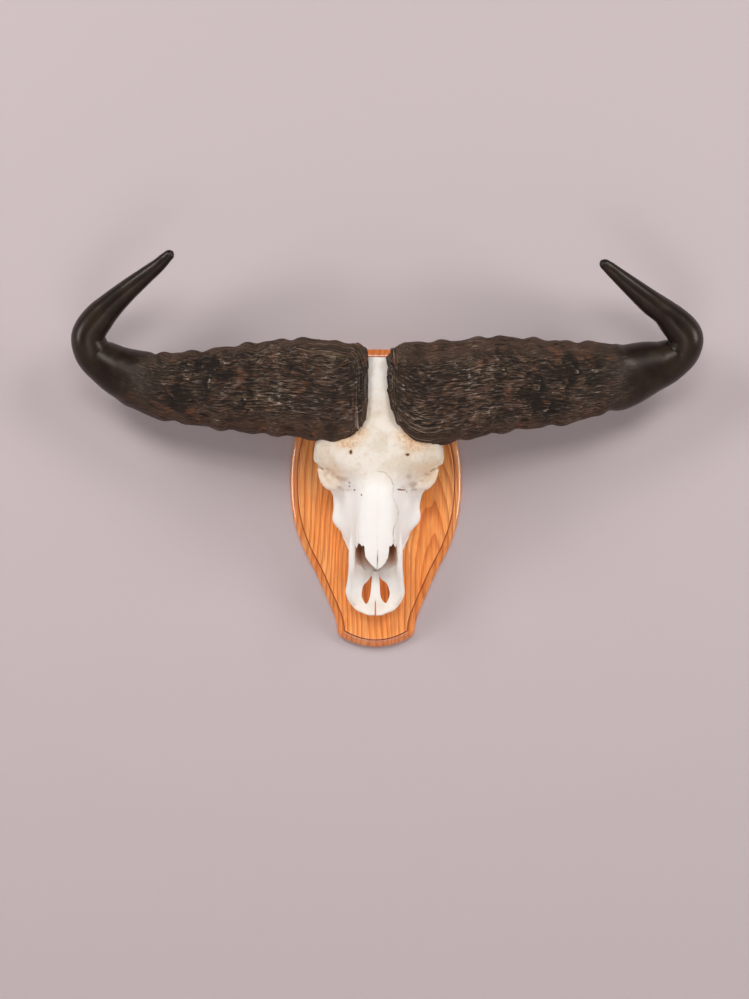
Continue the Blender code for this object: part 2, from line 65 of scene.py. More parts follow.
# The routed edge, as (inset, out): a small round at the back, an ogee, a groove and the step to the panel.
MOULDING = ((1.2, 0), (0.4, 0.3), (0, 1.2), (0, 7.4), (0.2, 8.6), (0.8, 9.8), (1.8, 10.9), (3.2, 11.9),
            (5, 12.8), (7, 13.6), (9, 14.3), (10.8, 14.8), (12, 14.9), (12.5, 14.5), (12.8, 14.2),
            (13.1, 14.6), (13.2, 17.8), (13.3, 18.9), (13.7, 19.6), (14.3, 19.95), (15, 20))
GROOVE_START, GROOVE_END = (9.5, 12.4), (14.2, 13.2)  # the insets between which the groove is painted dark: stain that gathers there, and painted shade at the foot of the panel's step
MOULDING_END = (13.4, 13.2)  # and the insets between which the moulding ends
MOULDING_STAIN = 0.22  # how much stain the rest of the moulding takes up
END_GRAIN_STAIN_AND_SHADE = 0.34  # and how much more where it runs across the grain, at the top and the bottom: end grain that takes more stain, and painted shade on the down-facing bottom moulding

# The horns, as (x, out, z, half height, half depth) from the forehead to the tip.
HORN_LEFT = (
    (-12, 135, 186, 50, 36), (-26, 135, 177, 69, 45), (-60, 132, 170, 81, 51), (-120, 128, 177, 80, 52),
    (-180, 121, 179, 76, 50), (-240, 111, 179, 69, 47), (-300, 100, 180, 60, 44), (-370, 88, 188, 52, 40),
    (-404, 85, 200, 46, 38), (-440, 86, 218, 38, 34), (-467, 93, 240, 31, 30), (-473, 103, 262, 28, 28),
    (-451, 116, 297, 25, 25), (-436, 122, 311, 22, 22), (-409, 133, 333, 18, 18), (-376, 142, 358, 14, 14),
    (-351, 147, 377, 11, 11), (-338, 151, 388.5, 9, 9), (-331, 152.5, 394.5, 7, 7),
    (-327.5, 153, 397.5, 3, 3),
)
HORN_RIGHT = (
    (17, 135, 205, 31, 34), (26, 135, 191, 50, 39), (41, 134, 177, 71, 45), (70, 132, 170, 83, 50),
    (130, 128, 174, 82, 52), (190, 121, 183, 80, 50), (250, 111, 187, 74, 47), (310, 101, 189, 68, 44),
    (370, 92, 197, 59, 42), (404, 87, 200, 54, 40), (448, 85, 214, 45, 36), (483, 87, 226, 36, 33),
    (504, 94, 241, 30, 30), (509, 104, 260, 29, 29), (485, 116, 291, 25, 25), (473, 122, 301, 22, 22),
    (449, 132, 316, 20, 20), (418, 141, 339, 16, 16), (390, 147, 361, 12, 12), (374, 151, 373.5, 9.5, 9.5),
    (366, 152.5, 379.5, 7, 7), (362.5, 153, 382.5, 3, 3),
)
# How far the right horn's inner edge is frayed back, as (z, bite).
HORN_RIGHT_FRAY = ((190, 0), (196, 0.5), (202, -0.8), (207, 1), (212.5, 3.7), (218, 1), (225, -1.6),
                   (229.5, 0.5), (232.5, 5), (239, 7), (243, 3))
HORN_FRAY_DEEP = 14.0  # how far along the horn the fraying reaches
HORN_RIDGES = 9  # swellings across the rough half of each horn
HORN_RIDGE_HIGH = 2.3
HORN_RIDGE_BEND = 1.3  # how far a ridge's line wanders as it goes round the horn, in radians of its wave
HORN_RIDGE_START = 0.7  # and where on its way round that wandering starts, in radians
HORN_OFF_BEAT = 1.62  # the weaker swellings to each of the stronger ones
HORN_STRONG, HORN_WEAK = 0.7, 0.35  # how high the stronger and the weaker swellings are
HORN_ROUGH_END = 0.62  # the share of its length over which a horn is ridged
HORN_ROUGH_FADE = 0.12
HORN_FIBRE_END = 0.60  # the share of its length over which its surface is fibrous
HORN_FIBRE_FADE = 0.16
HORN_TURN_START = 0.36  # up to here a horn's sections stand upright, and from the second square to it
HORN_TURN_END = 0.56
HORN_STATIONS = 390
HORN_SIDES = 250
HORN_BASE_SQUARE = 0.52  # how square a horn's sections are at its base, where 1 is an oval
HORN_SQUARE_END = 0.26  # the share of its length at which they have become ovals
HORN_BASE_ROUND = 4.5  # over this length from its first section the horn's edge is rounded
HORN_TIP_ROUND = 3.0
HORN_END_CLOSING = 0.98  # how nearly that rounding closes a horn's ends
HORN_RIM_ROUND = 46.0  # the growth lines by a horn's rim turn its lower corner with this radius
# Where a horn's plain upper and lower strips end, from -1 at the foot of its section to 1 at the top.
HORN_BAND_TOP, HORN_BAND_FOOT = (0.85, 0.35), (-1.0, -0.6)

# The skull's half sections at heights z, each from the forehead round the side to the base, as (x, out).
CRANIUM = (
    (227, ((0, 148), (13, 147), (30, 136), (46, 112), (46, 92), (38, 76), (18, 68), (0, 66))),
    (205, ((0, 158), (14, 156), (34, 142), (62, 112), (64, 84), (52, 54), (22, 40), (0, 38))),
    (165, ((0, 164), (15, 162), (38, 146), (64, 114), (60, 84), (44, 50), (20, 30), (0, 28))),
    (120, ((0, 167), (20, 165), (48, 152), (68, 126), (52, 88), (40, 50), (19, 29), (0, 27))),
    (92, ((0, 166), (34, 165), (76, 155), (99, 134), (54, 92), (38, 52), (20, 30), (0, 29))),
    (74, ((0, 164), (36, 164), (78, 154), (103, 130), (56, 94), (38, 54), (22, 34), (0, 35))),
    (58, ((0, 163), (34, 163), (72, 153), (101, 126), (58, 92), (38, 56), (22, 36), (0, 38))),
    (46, ((0, 162), (32, 162), (62, 150), (88, 122), (58, 88), (42, 56), (26, 39), (0, 41))),
    (32, ((0, 161), (28, 160), (54, 144), (74, 114), (58, 82), (48, 56), (30, 42), (0, 44))),
    (8, ((0, 161), (24, 156), (43, 128), (62, 94), (66, 70), (58, 50), (34, 42), (0, 45))),
    (-20, ((0, 157), (25, 152), (40, 118), (60, 84), (72, 66), (62, 46), (34, 40), (0, 44))),
    (-38, ((0, 153), (27, 147), (39, 112), (56, 80), (73, 62), (62, 44), (34, 39), (0, 43))),
    (-60, ((0, 148), (28, 141), (37, 114), (46, 82), (56, 58), (52, 42), (32, 37), (0, 41))),
    (-79, ((0, 134), (27, 129), (36, 111), (41, 85), (45, 58), (42, 42), (30, 36), (0, 39))),
    (-94, ((0, 104), (24, 103), (37, 94), (41, 80), (45, 60), (42, 44), (30, 37), (0, 39))),
    (-115, ((0, 70), (24, 73), (37, 82), (43, 73), (45, 60), (42, 46), (30, 38), (0, 39))),
    (-128, ((0, 64), (22, 64), (37, 74), (44, 68), (46, 58), (43, 45), (30, 38), (0, 39))),
    (-140, ((0, 63), (22, 61), (38, 68), (46, 63), (47, 54), (43, 44), (30, 39), (0, 40))),
    (-163, ((0, 58), (22, 55), (39, 58), (48, 54), (48, 49), (43, 43), (30, 40), (0, 40))),
    (-178, ((0, 54), (20, 51), (33, 52), (41, 50), (41, 47), (36, 43), (25, 40), (0, 40))),
    (-191, ((0, 50), (12, 49), (22, 49), (28, 48), (28, 45), (24, 42), (16, 40), (0, 40))),
    (-198, ((0, 49), (4, 49), (8, 48), (11, 47), (11, 44), (8, 42), (4, 41), (0, 41))),
)
CRANIUM_STATIONS, CRANIUM_SPAN_STEPS = 160, 8
# The nose bones, as (z, half width, out, half thickness).
NASALS = ((38, 8, 156, 4), (26, 17, 156, 5), (10, 22, 155.6, 6), (-9, 23, 153, 6.5),
          (-41, 26.5, 146.8, 6.8), (-61, 28, 142.6, 6.8), (-82, 27, 137.6, 6), (-98, 24, 134.2, 4.8),
          (-110, 18, 131, 3.6), (-121, 9, 127, 2.5))
NASAL_SQUARE = 0.6  # 1 makes the nose bones' sections ovals, and less makes them squarer
NASAL_STATIONS, NASAL_SIDES = 80, 32
# The two nose openings, as (x, z) round each one: down the tongue's edge to its tip and up the jaw rail.
NOSE_WINDOW_LEFT = ((-28.5, -74), (-24.5, -76.5), (-22.9, -79.5), (-20.8, -77.2), (-18.6, -80), (-17.8, -90),
                    (-17, -97), (-14, -102), (-8, -109), (-1, -115.5), (3.2, -117.5), (3, -123), (-14, -123),
                    (-26, -119), (-33, -112), (-35, -103), (-33.5, -92), (-31, -82))
NOSE_WINDOW_RIGHT = ((28, -75), (25.5, -77.5), (24.2, -80), (22.4, -78), (21.2, -81), (20.6, -90),
                     (19.6, -98), (15.5, -106.5), (10, -112.5), (3.2, -117.5), (3.4, -123), (18, -123),
                     (29, -119), (34.5, -112), (36.5, -103), (35, -92), (31.5, -82))
NOSE_WINDOW_DEPTHS = ((66, 9), (76, 5), (90, 0), (175, 0))  # (out, how far the outer edge is pulled in)
NOSE_WINDOW_EDGE = (18, 33)  # between these distances from the middle that pull sets in
# Where the tips of the nose bones part, as (x, z).
NASAL_SLIT = ((2.45, -86), (2.75, -86), (3.1, -101), (3.0, -121), (2.2, -121), (2.1, -101))

# Rods, here and below, are (x, out, z, radius), and those off the midline are made on both sides.
ROD_STATIONS, ROD_SIDES = 18, 20
JAW_RAIL = ((36, 98, -38, 4), (37.5, 98, -62, 5.5), (38, 94, -84, 6.5), (38.5, 84, -114, 6),
            (41, 67, -140, 5), (42, 56, -162, 4.5), (35, 50, -176, 4))
# The inside of the nose, as (z, half width, highest out, lowest out).
NOSE_CAVITY = ((-139, 5, 72, 64), (-131, 13, 82, 65), (-121, 24, 96, 66), (-110, 29, 112, 66),
               (-94, 29, 124, 63), (-80, 26, 124, 58), (-50, 20, 120, 56), (-20, 12, 104, 66))
NOSE_STATIONS, NOSE_SIDES = 40, 40
VOMER = ((0, 58, -140, 5.5), (0, 66, -122, 4.5), (0, 76, -104, 4.5), (0, 80, -80, 5), (0, 80, -50, 6))
PALATE_LEFT = ((-7.2, -131), (-13.9, -139.3), (-20.9, -147.5), (-23.9, -159.5), (-22.9, -168.7),
               (-16.9, -178.2), (-12.9, -173.7), (-9.7, -163.7), (-7.7, -145.3))
PALATE_RIGHT = ((5.8, -131.5), (9.5, -137.3), (17.5, -143.3), (22.5, -155.5), (23, -163.7), (19.5, -173.7),
                (16.5, -177.2), (11.5, -173.7), (7.5, -163.7), (6.3, -145.3))
JAW_SLIT = ((-1.5, -173), (-0.3, -173), (0.8, -202), (-2.3, -202))
SLOT_DEPTH = (30, 75)  # from how far out to how far out the slots in the jaw plates are cut
NASAL_SLIT_DEPTH = (118, 175)
SLOT_SPAN_STEPS = 4

# The eye sockets.
SOCKET = (92, 94, 54)  # the middle of the right rim, as (x, out, z)
SOCKET_WALL = ((-50, 24), (-24, 33), (-8, 36), (0, 37))  # (distance along the socket's axis, radius)
SOCKET_BOWL = ((-36, 6), (-32, 14), (-18, 23), (-4, 28), (4, 29), (14, 26), (30, 16))
OPTIC_HOLE = ((62, 88, 58, 4.5), (46, 82, 64, 3.5))
SOCKET_FORWARD = -3.0  # degrees that each socket faces forward of sideways
SOCKET_DOWN = 12.0
SOCKET_SIDES = 48
BROW = ((80, 140, 96, 8), (96, 131, 88, 7.5), (99.5, 126, 72, 6.5), (100.5, 123, 60, 6), (94, 121, 51, 6),
        (80, 119, 40, 6.5), (66, 116, 28, 8))
LOWER_RIM = ((96, 119, 57, 5.5), (93, 120, 43, 6), (87.5, 119, 29.5, 7.5), (78, 116, 20.5, 8.5),
             (64, 112, 19, 9))
# The clefts under the brows' corners, as (x, z), and from how far out to how far out they are cut.
RIM_CLEFTS = (((-102, 60), (-86.5, 47.8), (-84.5, 43.5), (-93.5, 47.4), (-100, 52)),
              ((113, 56.5), (92, 46.8), (87.5, 41.5), (94, 43.3), (113, 50)))
CLEFT_DEPTH = (112, 150)
REAR_RIM = ((97, 58, 68, 6), (94, 58, 55, 7), (90, 60, 42, 7), (85, 64, 32, 8))
RIM_PLATE = ((88, 119, 50, 6), (83, 118, 38, 8), (73, 114, 30, 9))
EYE_FOOT = ((89, 82, 30, 8), (80, 88, 22, 8), (62, 92, 17, 10))
CHEEK_CREST = ((66, 58, -36, 7), (64, 64, -12, 8), (67, 72, 10, 9), (81, 78, 26, 8))
CHEEK_ARCH = ((84, 78, 34, 11), (90, 66, 66, 8), (86, 62, 100, 7), (74, 64, 134, 9), (60, 70, 156, 12))

# The back of the head.
CONDYLES = ((26, 48, 214, 14), (27, 36, 206, 11))
NAPE_CANAL = ((0, 62, 240, 18), (0, 62, 210, 16), (0, 70, 180, 14))
EAR_BULB = (36, 40, 158, 14)
EAR_SPUR = ((46, 60, 170, 12), (46, 46, 182, 9), (42, 32, 190, 7))
WING = ((30, 52, 34, 9), (24, 34, 52, 7), (21, 30, 78, 7), (18, 34, 104, 9))
PAIRED_RODS = (JAW_RAIL, BROW, LOWER_RIM, REAR_RIM, RIM_PLATE, EYE_FOOT, CHEEK_CREST, CHEEK_ARCH,
               EAR_SPUR, WING)
BALL_STRETCH = 1.2  # the height of the condyles and the ear bulb to their width

# The cheek teeth on each side, as (z, half length, half width, x).
TEETH = ((-80, 8, 7, 40), (-64, 8.5, 8, 46), (-47, 9, 9, 51), (-28, 10.5, 10, 54), (-5, 12, 10, 55),
         (20, 13, 9.5, 54))
# A tooth from its root over its crown and in again, as (share of its height, share of its width).
TOOTH_PROFILE = ((0.0, 0.86), (0.25, 0.92), (0.6, 1.0), (0.85, 0.99), (0.95, 0.95), (1.0, 0.84), (0.985, 0.6),
                 (0.96, 0.3))
TOOTH_SIDES = 48
TOOTH_SQUARE = 0.75
TOOTH_HOLLOW = 0.05  # how deep the crescents in its crown are, to its height
TOOTH_ROOT = 46.0
TOOTH_TIP = PLAQUE_THICK + 0.5
GUM_RIDGE = 48.0  # how far out the even ridge over the teeth's roots runs
GUM_RIDGE_BEYOND = 1.5
GUM_DEPTH = 34.0  # how far out the bone stands that holds the teeth
GUM_BEYOND = (2.0, 3.0)  # how far it reaches past each tooth, across and along the row
MIDLINE = ((-200, -1.5), (-40, 0.3), (60, 4.4), (230, 4.6))  # (z, how far to the right the midline stands)

# Small openings for nerves and vessels, as (x, z, half width, half height, depth).
FORAMINA = ((-40.6, 72.8, 2.4, 3.6, 9), (50.9, 68.6, 3.2, 1.7, 7), (-42.8, 23.6, 1.1, 1.1, 4),
            (-43, 18, 1.0, 1.2, 4), (-34.6, 12, 1.6, 1.0, 4), (-23.5, 4, 1.1, 1.0, 3),
            (36.5, 12.9, 1.8, 0.9, 3), (39, 12.5, 2.0, 1.1, 3), (41.5, 12.2, 2.0, 1.2, 3),
            (44, 12.2, 2.0, 1.1, 3), (46.5, 12.6, 1.8, 0.8, 3), (50, 9, 1.0, 0.8, 3),
            (-43.6, -65.3, 1.2, 1.6, 3), (43.2, -67.4, 1.2, 1.4, 3))
FORAMEN_SEARCH = 240.0  # how far out the search for the bone's face starts
FORAMEN_RINGS = ((-1.0, 0.3), (-0.5, 0.8), (1.0, 1.25))  # (share of its depth, outwards, and of its width)
FORAMEN_SIDES = 16

SKULL_VOXEL = 1.45 * MM
SKULL_TRIANGLES = 190000
SOFTEN_FACTOR, SOFTEN_ROUNDS = 0.5, 3
CRUST_REACH = 0.030  # how far from the horns' edges the bone is porous
CRUST_FULL = 0.003  # and how far from them it is fully so
CRUST_SPOTS = ((-38, 96), (56, 92))  # (x, z) where it is most so
CRUST_WIDE = 1.3  # the width of those places to their height
CRUST_LEAST = 0.22
WART_STATIONS = 30  # places that the warty strip on an eye rim is drawn through
WART_DEEP = 1.6  # how far the warty strip reaches out from the wall and back, to its width
EYE_TINT_X, EYE_TINT_Z = (-88, 96), 40  # the middles of the warm tint round the two eye sockets
# The brown blots on the face, as (x, z, half width, half height, strength): partly real stains and partly
# painted shade in the creases, the hollows by the eyes and under the crust's ledges.
STAINS_AND_SHADE = ((-51.7, 30, 13, 6, 1.0), (-59.5, 16, 7, 6, 0.9), (-70, 38, 7, 6, 0.5), (-42, 84, 22, 5, 0.85),
          (49, 80, 19, 4, 0.7), (54, 34, 8, 7, 0.9), (59.4, 21, 12, 8, 1.0), (64, 13, 6, 5, 0.7),
          (84, 37, 8, 4.5, 0.8), (57, 78, 16, 4.5, 0.6), (-78, 84, 20, 4, 0.3), (91, 78, 14, 4, 0.3),
          (-80, 46, 9, 3.5, 0.9), (-63, 33, 8, 4, 0.8), (73, 27, 7, 4, 0.8), (-46, 12, 9, 3, 0.5),
          (46, 17, 9, 4, 0.4))
HOLE_SHADE = 1.8  # how dark the small openings are painted, as painted shade
# The seam between the nose bones and the right upper jaw, as (z, x).
JAW_SEAM = ((-76, 29.5), (-53, 28.2), (-43, 31.5), (-36, 36), (-20.6, 36.4), (-6.5, 30.4), (3, 27.2),
            (14, 28.4))
RAY_FAR = 0.045  # a hollow is a place from which most rays of this length hit the skull
RAY_LIFT = 0.0006
RAY_SPREAD = 0.95  # how far the outer rays lean away from the surface's own direction
RAY_SMOOTHING = 4  # rounds in which the result is evened out
RAY_WAYS = np.array([(0, 0, 0), (1, 0, 0), (-1, 0, 0), (0, 1, 0), (0, -1, 0), (0, 0, 1), (0, 0, -1)], float)

# The camera stands square to the wall, level with the skull's middle.
CAMERA_SPOT = (-0.0024, -2.9, -0.0034)
CAMERA_LENS = 61.3
# The backdrop, in metres: a wall, a rounded corner and a floor.
WALL_PLACE, WALL_TOP, WALL_ROUND = 0.0006, 3.2, 0.5
WALL_TURN_STEPS = 13
FLOOR, FLOOR_FRONT = -1.6, -6.0
STAGE_WIDE = 5.0  # to each side
# The lights, as (name, place, size, power). They all face one spot.
LIT_SPOT = (0.0, -0.1, 0.05)
LIGHTS = (
    ("key", (0.0, -3.3, 1.4), (1.7, 1.0), 41),
    ("low", (0.0, -2.7, -1.7), (1.8, 0.8), 21),
    ("high left", (-1.9, -2.2, 2.1), (1.0, 1.0), 41),
    ("high right", (1.9, -2.2, 2.1), (1.0, 1.0), 34),
    ("left", (-3.1, -1.4, 0.1), (0.8, 1.4), 34),
    ("right", (3.1, -1.4, 0.1), (0.8, 1.4), 36),
    ("back", (0.0, 2.8, 0.9), (2.0, 2.0), 14),
)
AIR_COLOUR, AIR_STRENGTH = (1.0, 0.98, 0.97, 1.0), 0.02

# Patterns of wood, bone and horn, in metres.
GAP_EDGE = 0.08  # how far the threads' height falls from a gap's edge to its floor
PITH_RIGHT, PITH_OUT, PITH_LEAN = 0.098, 0.052, 0.16  # where the tree's middle runs, and how it leans out
RINGS_PER_METRE, RING_SWAY, RING_FUZZ = 118.0, 0.085, 0.006
ARCH_MIDDLE, ARCH_RADIUS, ARCH_SQUASH = (0.0035, 0.0135), 0.0245, 0.86  # the arched seam over the nose bones
LAYERS_PER_METRE, LAYER_SWAY = 34.0, 4.6  # along a horn
YEARS_PER_METRE, YEAR_SWAY = 150.0, 1.2  # in from its rim

BONE = (0.885, 0.855, 0.812)
BONE_CREAM = (0.64, 0.545, 0.43)
BONE_CRUST = (0.70, 0.50, 0.32)
BONE_GOLD = (0.88, 0.64, 0.41)
BONE_TAN = (0.42, 0.245, 0.13)
BONE_SEAM = (0.44, 0.35, 0.26)
BONE_RED = (0.52, 0.23, 0.11)
BONE_BROWN = (0.25, 0.08, 0.03)
HORN_BLACK = (0.008, 0.005, 0.004)
HORN_BROWN = (0.130, 0.064, 0.035)
HORN_OLIVE = (0.112, 0.070, 0.038)
HORN_PLAIN = (0.0519, 0.0262, 0.0152)
HORN_POLISH = (0.015, 0.009, 0.006)
HORN_RUST = (0.17, 0.062, 0.026)
# pale grey: painted glints on the fibre crests, and worn chips
HORN_GLINT_AND_CHIP_GREY = (0.38, 0.30, 0.25)
# near black: painted shade in the troughs and gaps, and dark patches
HORN_PIT_SHADE = (0.005, 0.003, 0.002)
OAK_HONEY = (0.93, 0.31, 0.072)
OAK_LIGHT = (0.97, 0.43, 0.14)
OAK_LATE = (0.58, 0.125, 0.025)
OAK_PORE = (0.30, 0.060, 0.010)
OAK_GROOVE = (0.34, 0.062, 0.013)
OAK_RAW = (0.60, 0.36, 0.17)
OAK_RAW_LATE = (0.40, 0.21, 0.09)
ENAMEL = (0.80, 0.72, 0.56)
ENAMEL_STAIN = (0.20, 0.11, 0.05)
WALL = (0.485, 0.41, 0.415)


def along(rows, count):
    """A smooth curve through the rows, as count rows evenly spread by the first three columns' length."""
    rows = np.array(rows, float)
    lengths = np.linalg.norm(np.diff(rows[:, :3], axis=0), axis=1)
    places = np.concatenate([[0.0], np.cumsum(lengths)])
    slopes = np.gradient(rows, places, axis=0)
    wanted = np.linspace(0.0, places[-1], count)
    index = np.clip(np.searchsorted(places, wanted, side="right") - 1, 0, len(rows) - 2)
    span = (places[index + 1] - places[index])[:, None]
    t = (wanted - places[index])[:, None] / span
    start = (2 * t**3 - 3 * t**2 + 1) * rows[index] + (t**3 - 2 * t**2 + t) * span * slopes[index]
    end = (3 * t**2 - 2 * t**3) * rows[index + 1] + (t**3 - t**2) * span * slopes[index + 1]
    return start + end


def by_height(rows, count):
    """The same for rows that start with their height and have no place in them."""
    return along([(row[0], 0, 0, *row) for row in rows], count)[:, 3:]


def flat_curve(points, count):
    """The same for (x, z) points."""
    return along([(x, z, 0) for x, z in points], count)[:, :2]


def closed_curve(points, per_span):
    """A smooth closed curve through the points."""
    points = np.array(points, float)
    before, after, beyond = (np.roll(points, shift, axis=0) for shift in (1, -1, -2))
    curve = []
    for step in range(per_span):
        t = step / per_span
        bend = (2 * before - 5 * points + 4 * after - beyond) * t**2
        twist = (3 * points - before - 3 * after + beyond) * t**3
        curve.append(0.5 * (2 * points + (after - before) * t + bend + twist))
    return np.stack(curve, axis=1).reshape(-1, points.shape[1])


def round_angles(count):
    """Angles evenly spread over a full turn."""
    return np.linspace(0, math.tau, count + 1)[:-1]


def circle(centre, heading, radius, sides):
    """A ring of points round a centre, square to a heading."""
    turn = Vector(heading).to_track_quat("Z", "Y")
    angles = round_angles(sides)
    return [centre + radius * np.array(turn @ Vector((math.cos(a), math.sin(a), 0))) for a in angles]


def add_rings(shape, rings):
    """A closed skin through the rings, which all have as many points, with a flat cap on each end."""
    made = [[shape.verts.new(Vector(point) * MM) for point in ring] for ring in rings]
    for ring, following in zip(made, made[1:]):
        for i, corner in enumerate(ring):
            j = (i + 1) % len(ring)
            shape.faces.new((corner, ring[j], following[j], following[i]))
    shape.faces.new(reversed(made[0]))
    shape.faces.new(made[-1])


def add_rod(shape, rows):
    """A round rod through rows of (x, out, z, radius), with rounded ends."""
    path = along(rows, ROD_STATIONS)
    spots = path[:, :3] * (1, -1, 1)
    headings = np.gradient(spots, axis=0)
    add_rings(shape, [circle(spot, heading, radius, ROD_SIDES)
                      for spot, heading, radius in zip(spots, headings, path[:, 3])])
    for x, out, z, radius in (path[0], path[-1]):
        add_ball(shape, (x, out, z), (radius, radius, radius))


def add_ball(shape, centre, radii):
    """An ellipsoid at (x, out, z)."""
    made = bmesh.ops.create_icosphere(shape, subdivisions=3, radius=MM)["verts"]
    bmesh.ops.scale(shape, vec=radii, verts=made)
    bmesh.ops.translate(shape, vec=Vector((centre[0], -centre[1], centre[2])) * MM, verts=made)


def add_prism(shape, outline, depths):
    """A straight body with this outline of (x, z), from one distance out to the other."""
    add_rings(shape, [[(x, -out, z) for x, z in outline] for out in depths])


def both_sides(rows):
    """The rows, and the rows with their x turned to the other side."""
    flat = np.array(rows, float)
    other = flat.copy()
    other[..., 0] *= -1
    return flat, other


def linked(name, data):
    """A new object with this data, in the scene."""
    made = bpy.data.objects.new(name, data)
    bpy.context.scene.collection.objects.link(made)
    return made


def object_of(shape, name):
    """The bmesh as an object in the scene, with its faces turned outwards."""
    bmesh.ops.recalc_face_normals(shape, faces=shape.faces)
    mesh = bpy.data.meshes.new(name)
    shape.to_mesh(mesh)
    shape.free()
    return linked(name, mesh)


def settle(thing):
    """Replaces the object's mesh by what its modifiers make of it."""
    graph = bpy.context.evaluated_depsgraph_get()
    changed = thing.evaluated_get(graph)
    made = bpy.data.meshes.new_from_object(changed, preserve_all_data_layers=True, depsgraph=graph)
    thing.modifiers.clear()
    thing.data = made


def change(thing, kind, **settings):
    """Runs one modifier on the object, and keeps the plain mesh that it makes."""
    modifier = thing.modifiers.new(kind.lower(), kind)
    for name, value in settings.items():
        setattr(modifier, name, value)
    settle(thing)


def points_of(thing):
    """The object's vertices as an array of (x, y, z) in metres."""
    spots = np.empty(3 * len(thing.data.vertices))
    thing.data.vertices.foreach_get("co", spots)
    return spots.reshape(-1, 3)


def normals_of(thing):
    ways = np.empty(3 * len(thing.data.vertices))
    thing.data.vertex_normals.foreach_get("vector", ways)
    return ways.reshape(-1, 3)


def mark(thing, name, values):
    """Stores one number, or one vector, on each vertex under this name."""
    values = np.asarray(values, np.float32)
    kind, field = ("FLOAT_VECTOR", "vector") if values.ndim == 2 else ("FLOAT", "value")
    thing.data.attributes.new(name, kind, "POINT").data.foreach_set(field, values.ravel())


def fade(values, start, end):
    """0 up to start, 1 from end on, and smooth between them; start may be larger than end."""
    t = np.clip((values - start) / (end - start), 0, 1)
    return t * t * (3 - 2 * t)


# Node trees.


class Wave:
    """What a node puts out. Sums and products with it add the nodes that work them out, in the same tree."""

    def __init__(self, socket):
        self.socket = socket
        self.tree = socket.id_data

    def __add__(self, other):
        return maths("ADD", self, other)

    def __sub__(self, other):
        return maths("SUBTRACT", self, other)

    def __mul__(self, other):
        return maths("MULTIPLY", self, other)


def tree_of(*values):
    return next(value.tree for value in values if isinstance(value, Wave))


def fill(node, inputs):
    """Sets a node's inputs, given by name or number, as waves or as plain values."""
    for key, value in dict(inputs).items():
        if isinstance(value, Wave):
            value.tree.links.new(value.socket, node.inputs[key])
        else:
            node.inputs[key].default_value = value


def add_node(tree, kind, inputs=(), **settings):
    node = tree.nodes.new(kind)
    for name, value in settings.items():
        setattr(node, name, value)
    fill(node, inputs)
    return node


def add(tree, kind, inputs=(), output=0, **settings):
    """Adds a node, and gives one of its outputs."""
    return Wave(add_node(tree, kind, inputs, **settings).outputs[output])


def maths(operation, *values, clamp=False):
    return add(tree_of(*values), "ShaderNodeMath", enumerate(values), operation=operation, use_clamp=clamp)


def larger(first, second):
    return maths("MAXIMUM", first, second)


def stretched(vector, scales):
    return add(vector.tree, "ShaderNodeVectorMath", {0: vector, 1: scales}, operation="MULTIPLY")


def noise(vector, scale, detail=3.0, rough=0.5, bend=0.0):
    """A noise from 0 to 1. Three scales instead of one stretch it along the axes."""
    if isinstance(scale, tuple):
        vector, scale = stretched(vector, scale), 1.0
    inputs = {"Vector": vector, "Scale": scale, "Detail": detail, "Roughness": rough, "Distortion": bend}
    return add(vector.tree, "ShaderNodeTexNoise", inputs)


def ranged(value, start, end, low=0.0, high=1.0, smooth=True):
    """The value's range from start to end, stretched to run from low to high."""
    inputs = {"Value": value, "From Min": start, "From Max": end, "To Min": low, "To Max": high}
    kind = "SMOOTHSTEP" if smooth else "LINEAR"
    return add(value.tree, "ShaderNodeMapRange", inputs, interpolation_type=kind)


def blend(share, first, second, kind="MIX"):
    """A mix of two colours, each an (r, g, b) or a wave."""
    tree = tree_of(share, first, second)
    colours = [colour if isinstance(colour, Wave) else (*colour, 1.0) for colour in (first, second)]
    inputs = {0: share, 6: colours[0], 7: colours[1]}
    return add(tree, "ShaderNodeMix", inputs, 2, data_type="RGBA", blend_type=kind)


def painted(colour, coats):
    """A colour under coats of (how much of it shows, colour), the last one on top."""
    for share, coat in coats:
        colour = blend(share, colour, coat)
    return colour


def separated(vector):
    return [Wave(part) for part in add_node(vector.tree, "ShaderNodeSeparateXYZ", {0: vector}).outputs]


def joined(x, y, z):
    return add(x.tree, "ShaderNodeCombineXYZ", {0: x, 1: y, 2: z})


def attribute(tree, name, output="Fac"):
    """A stored number or vector, read in a material."""
    return add(tree, "ShaderNodeAttribute", output=output, attribute_name=name)


def stored(tree, name, kind="FLOAT"):
    """A stored number or vector, read in a geometry tree."""
    return add(tree, "GeometryNodeInputNamedAttribute", {"Name": name}, data_type=kind)


def new_group(name, kind, inputs, outputs):
    """An empty node group with named sockets, and what each of its inputs gives."""
    group = bpy.data.node_groups.new(name, kind)
    sorts = {float: "NodeSocketFloat", tuple: "NodeSocketVector", "geometry": "NodeSocketGeometry",
             "material": "NodeSocketMaterial", "object": "NodeSocketObject"}
    for label, value in inputs:
        sort = sorts[value] if isinstance(value, str) else sorts[type(value)]
        socket = group.interface.new_socket(label, in_out="INPUT", socket_type=sort)
        if not isinstance(value, str):
            socket.default_value = value
    for label, sort in outputs:
        group.interface.new_socket(label, in_out="OUTPUT", socket_type=sorts[sort])
    given = group.nodes.new("NodeGroupInput").outputs
    return group, {label: Wave(given[label]) for label, _ in inputs}


def put_out(group, results):
    add_node(group, "NodeGroupOutput", results)
    return group


def blotches_group():
    """Soft-edged blotches: where a slow noise passes a level, the mask rises from 0 to 1."""
    inputs = (("Vector", ORIGIN), ("Scale", 20.0), ("Level", 0.5), ("Softness", 0.1), ("Detail", 4.0))
    group, given = new_group("blotches", "ShaderNodeTree", inputs, (("Mask", float),))
    slow = noise(given["Vector"], given["Scale"], given["Detail"], 0.6)
    return put_out(group, {"Mask": ranged(slow, given["Level"], given["Level"] + given["Softness"])})


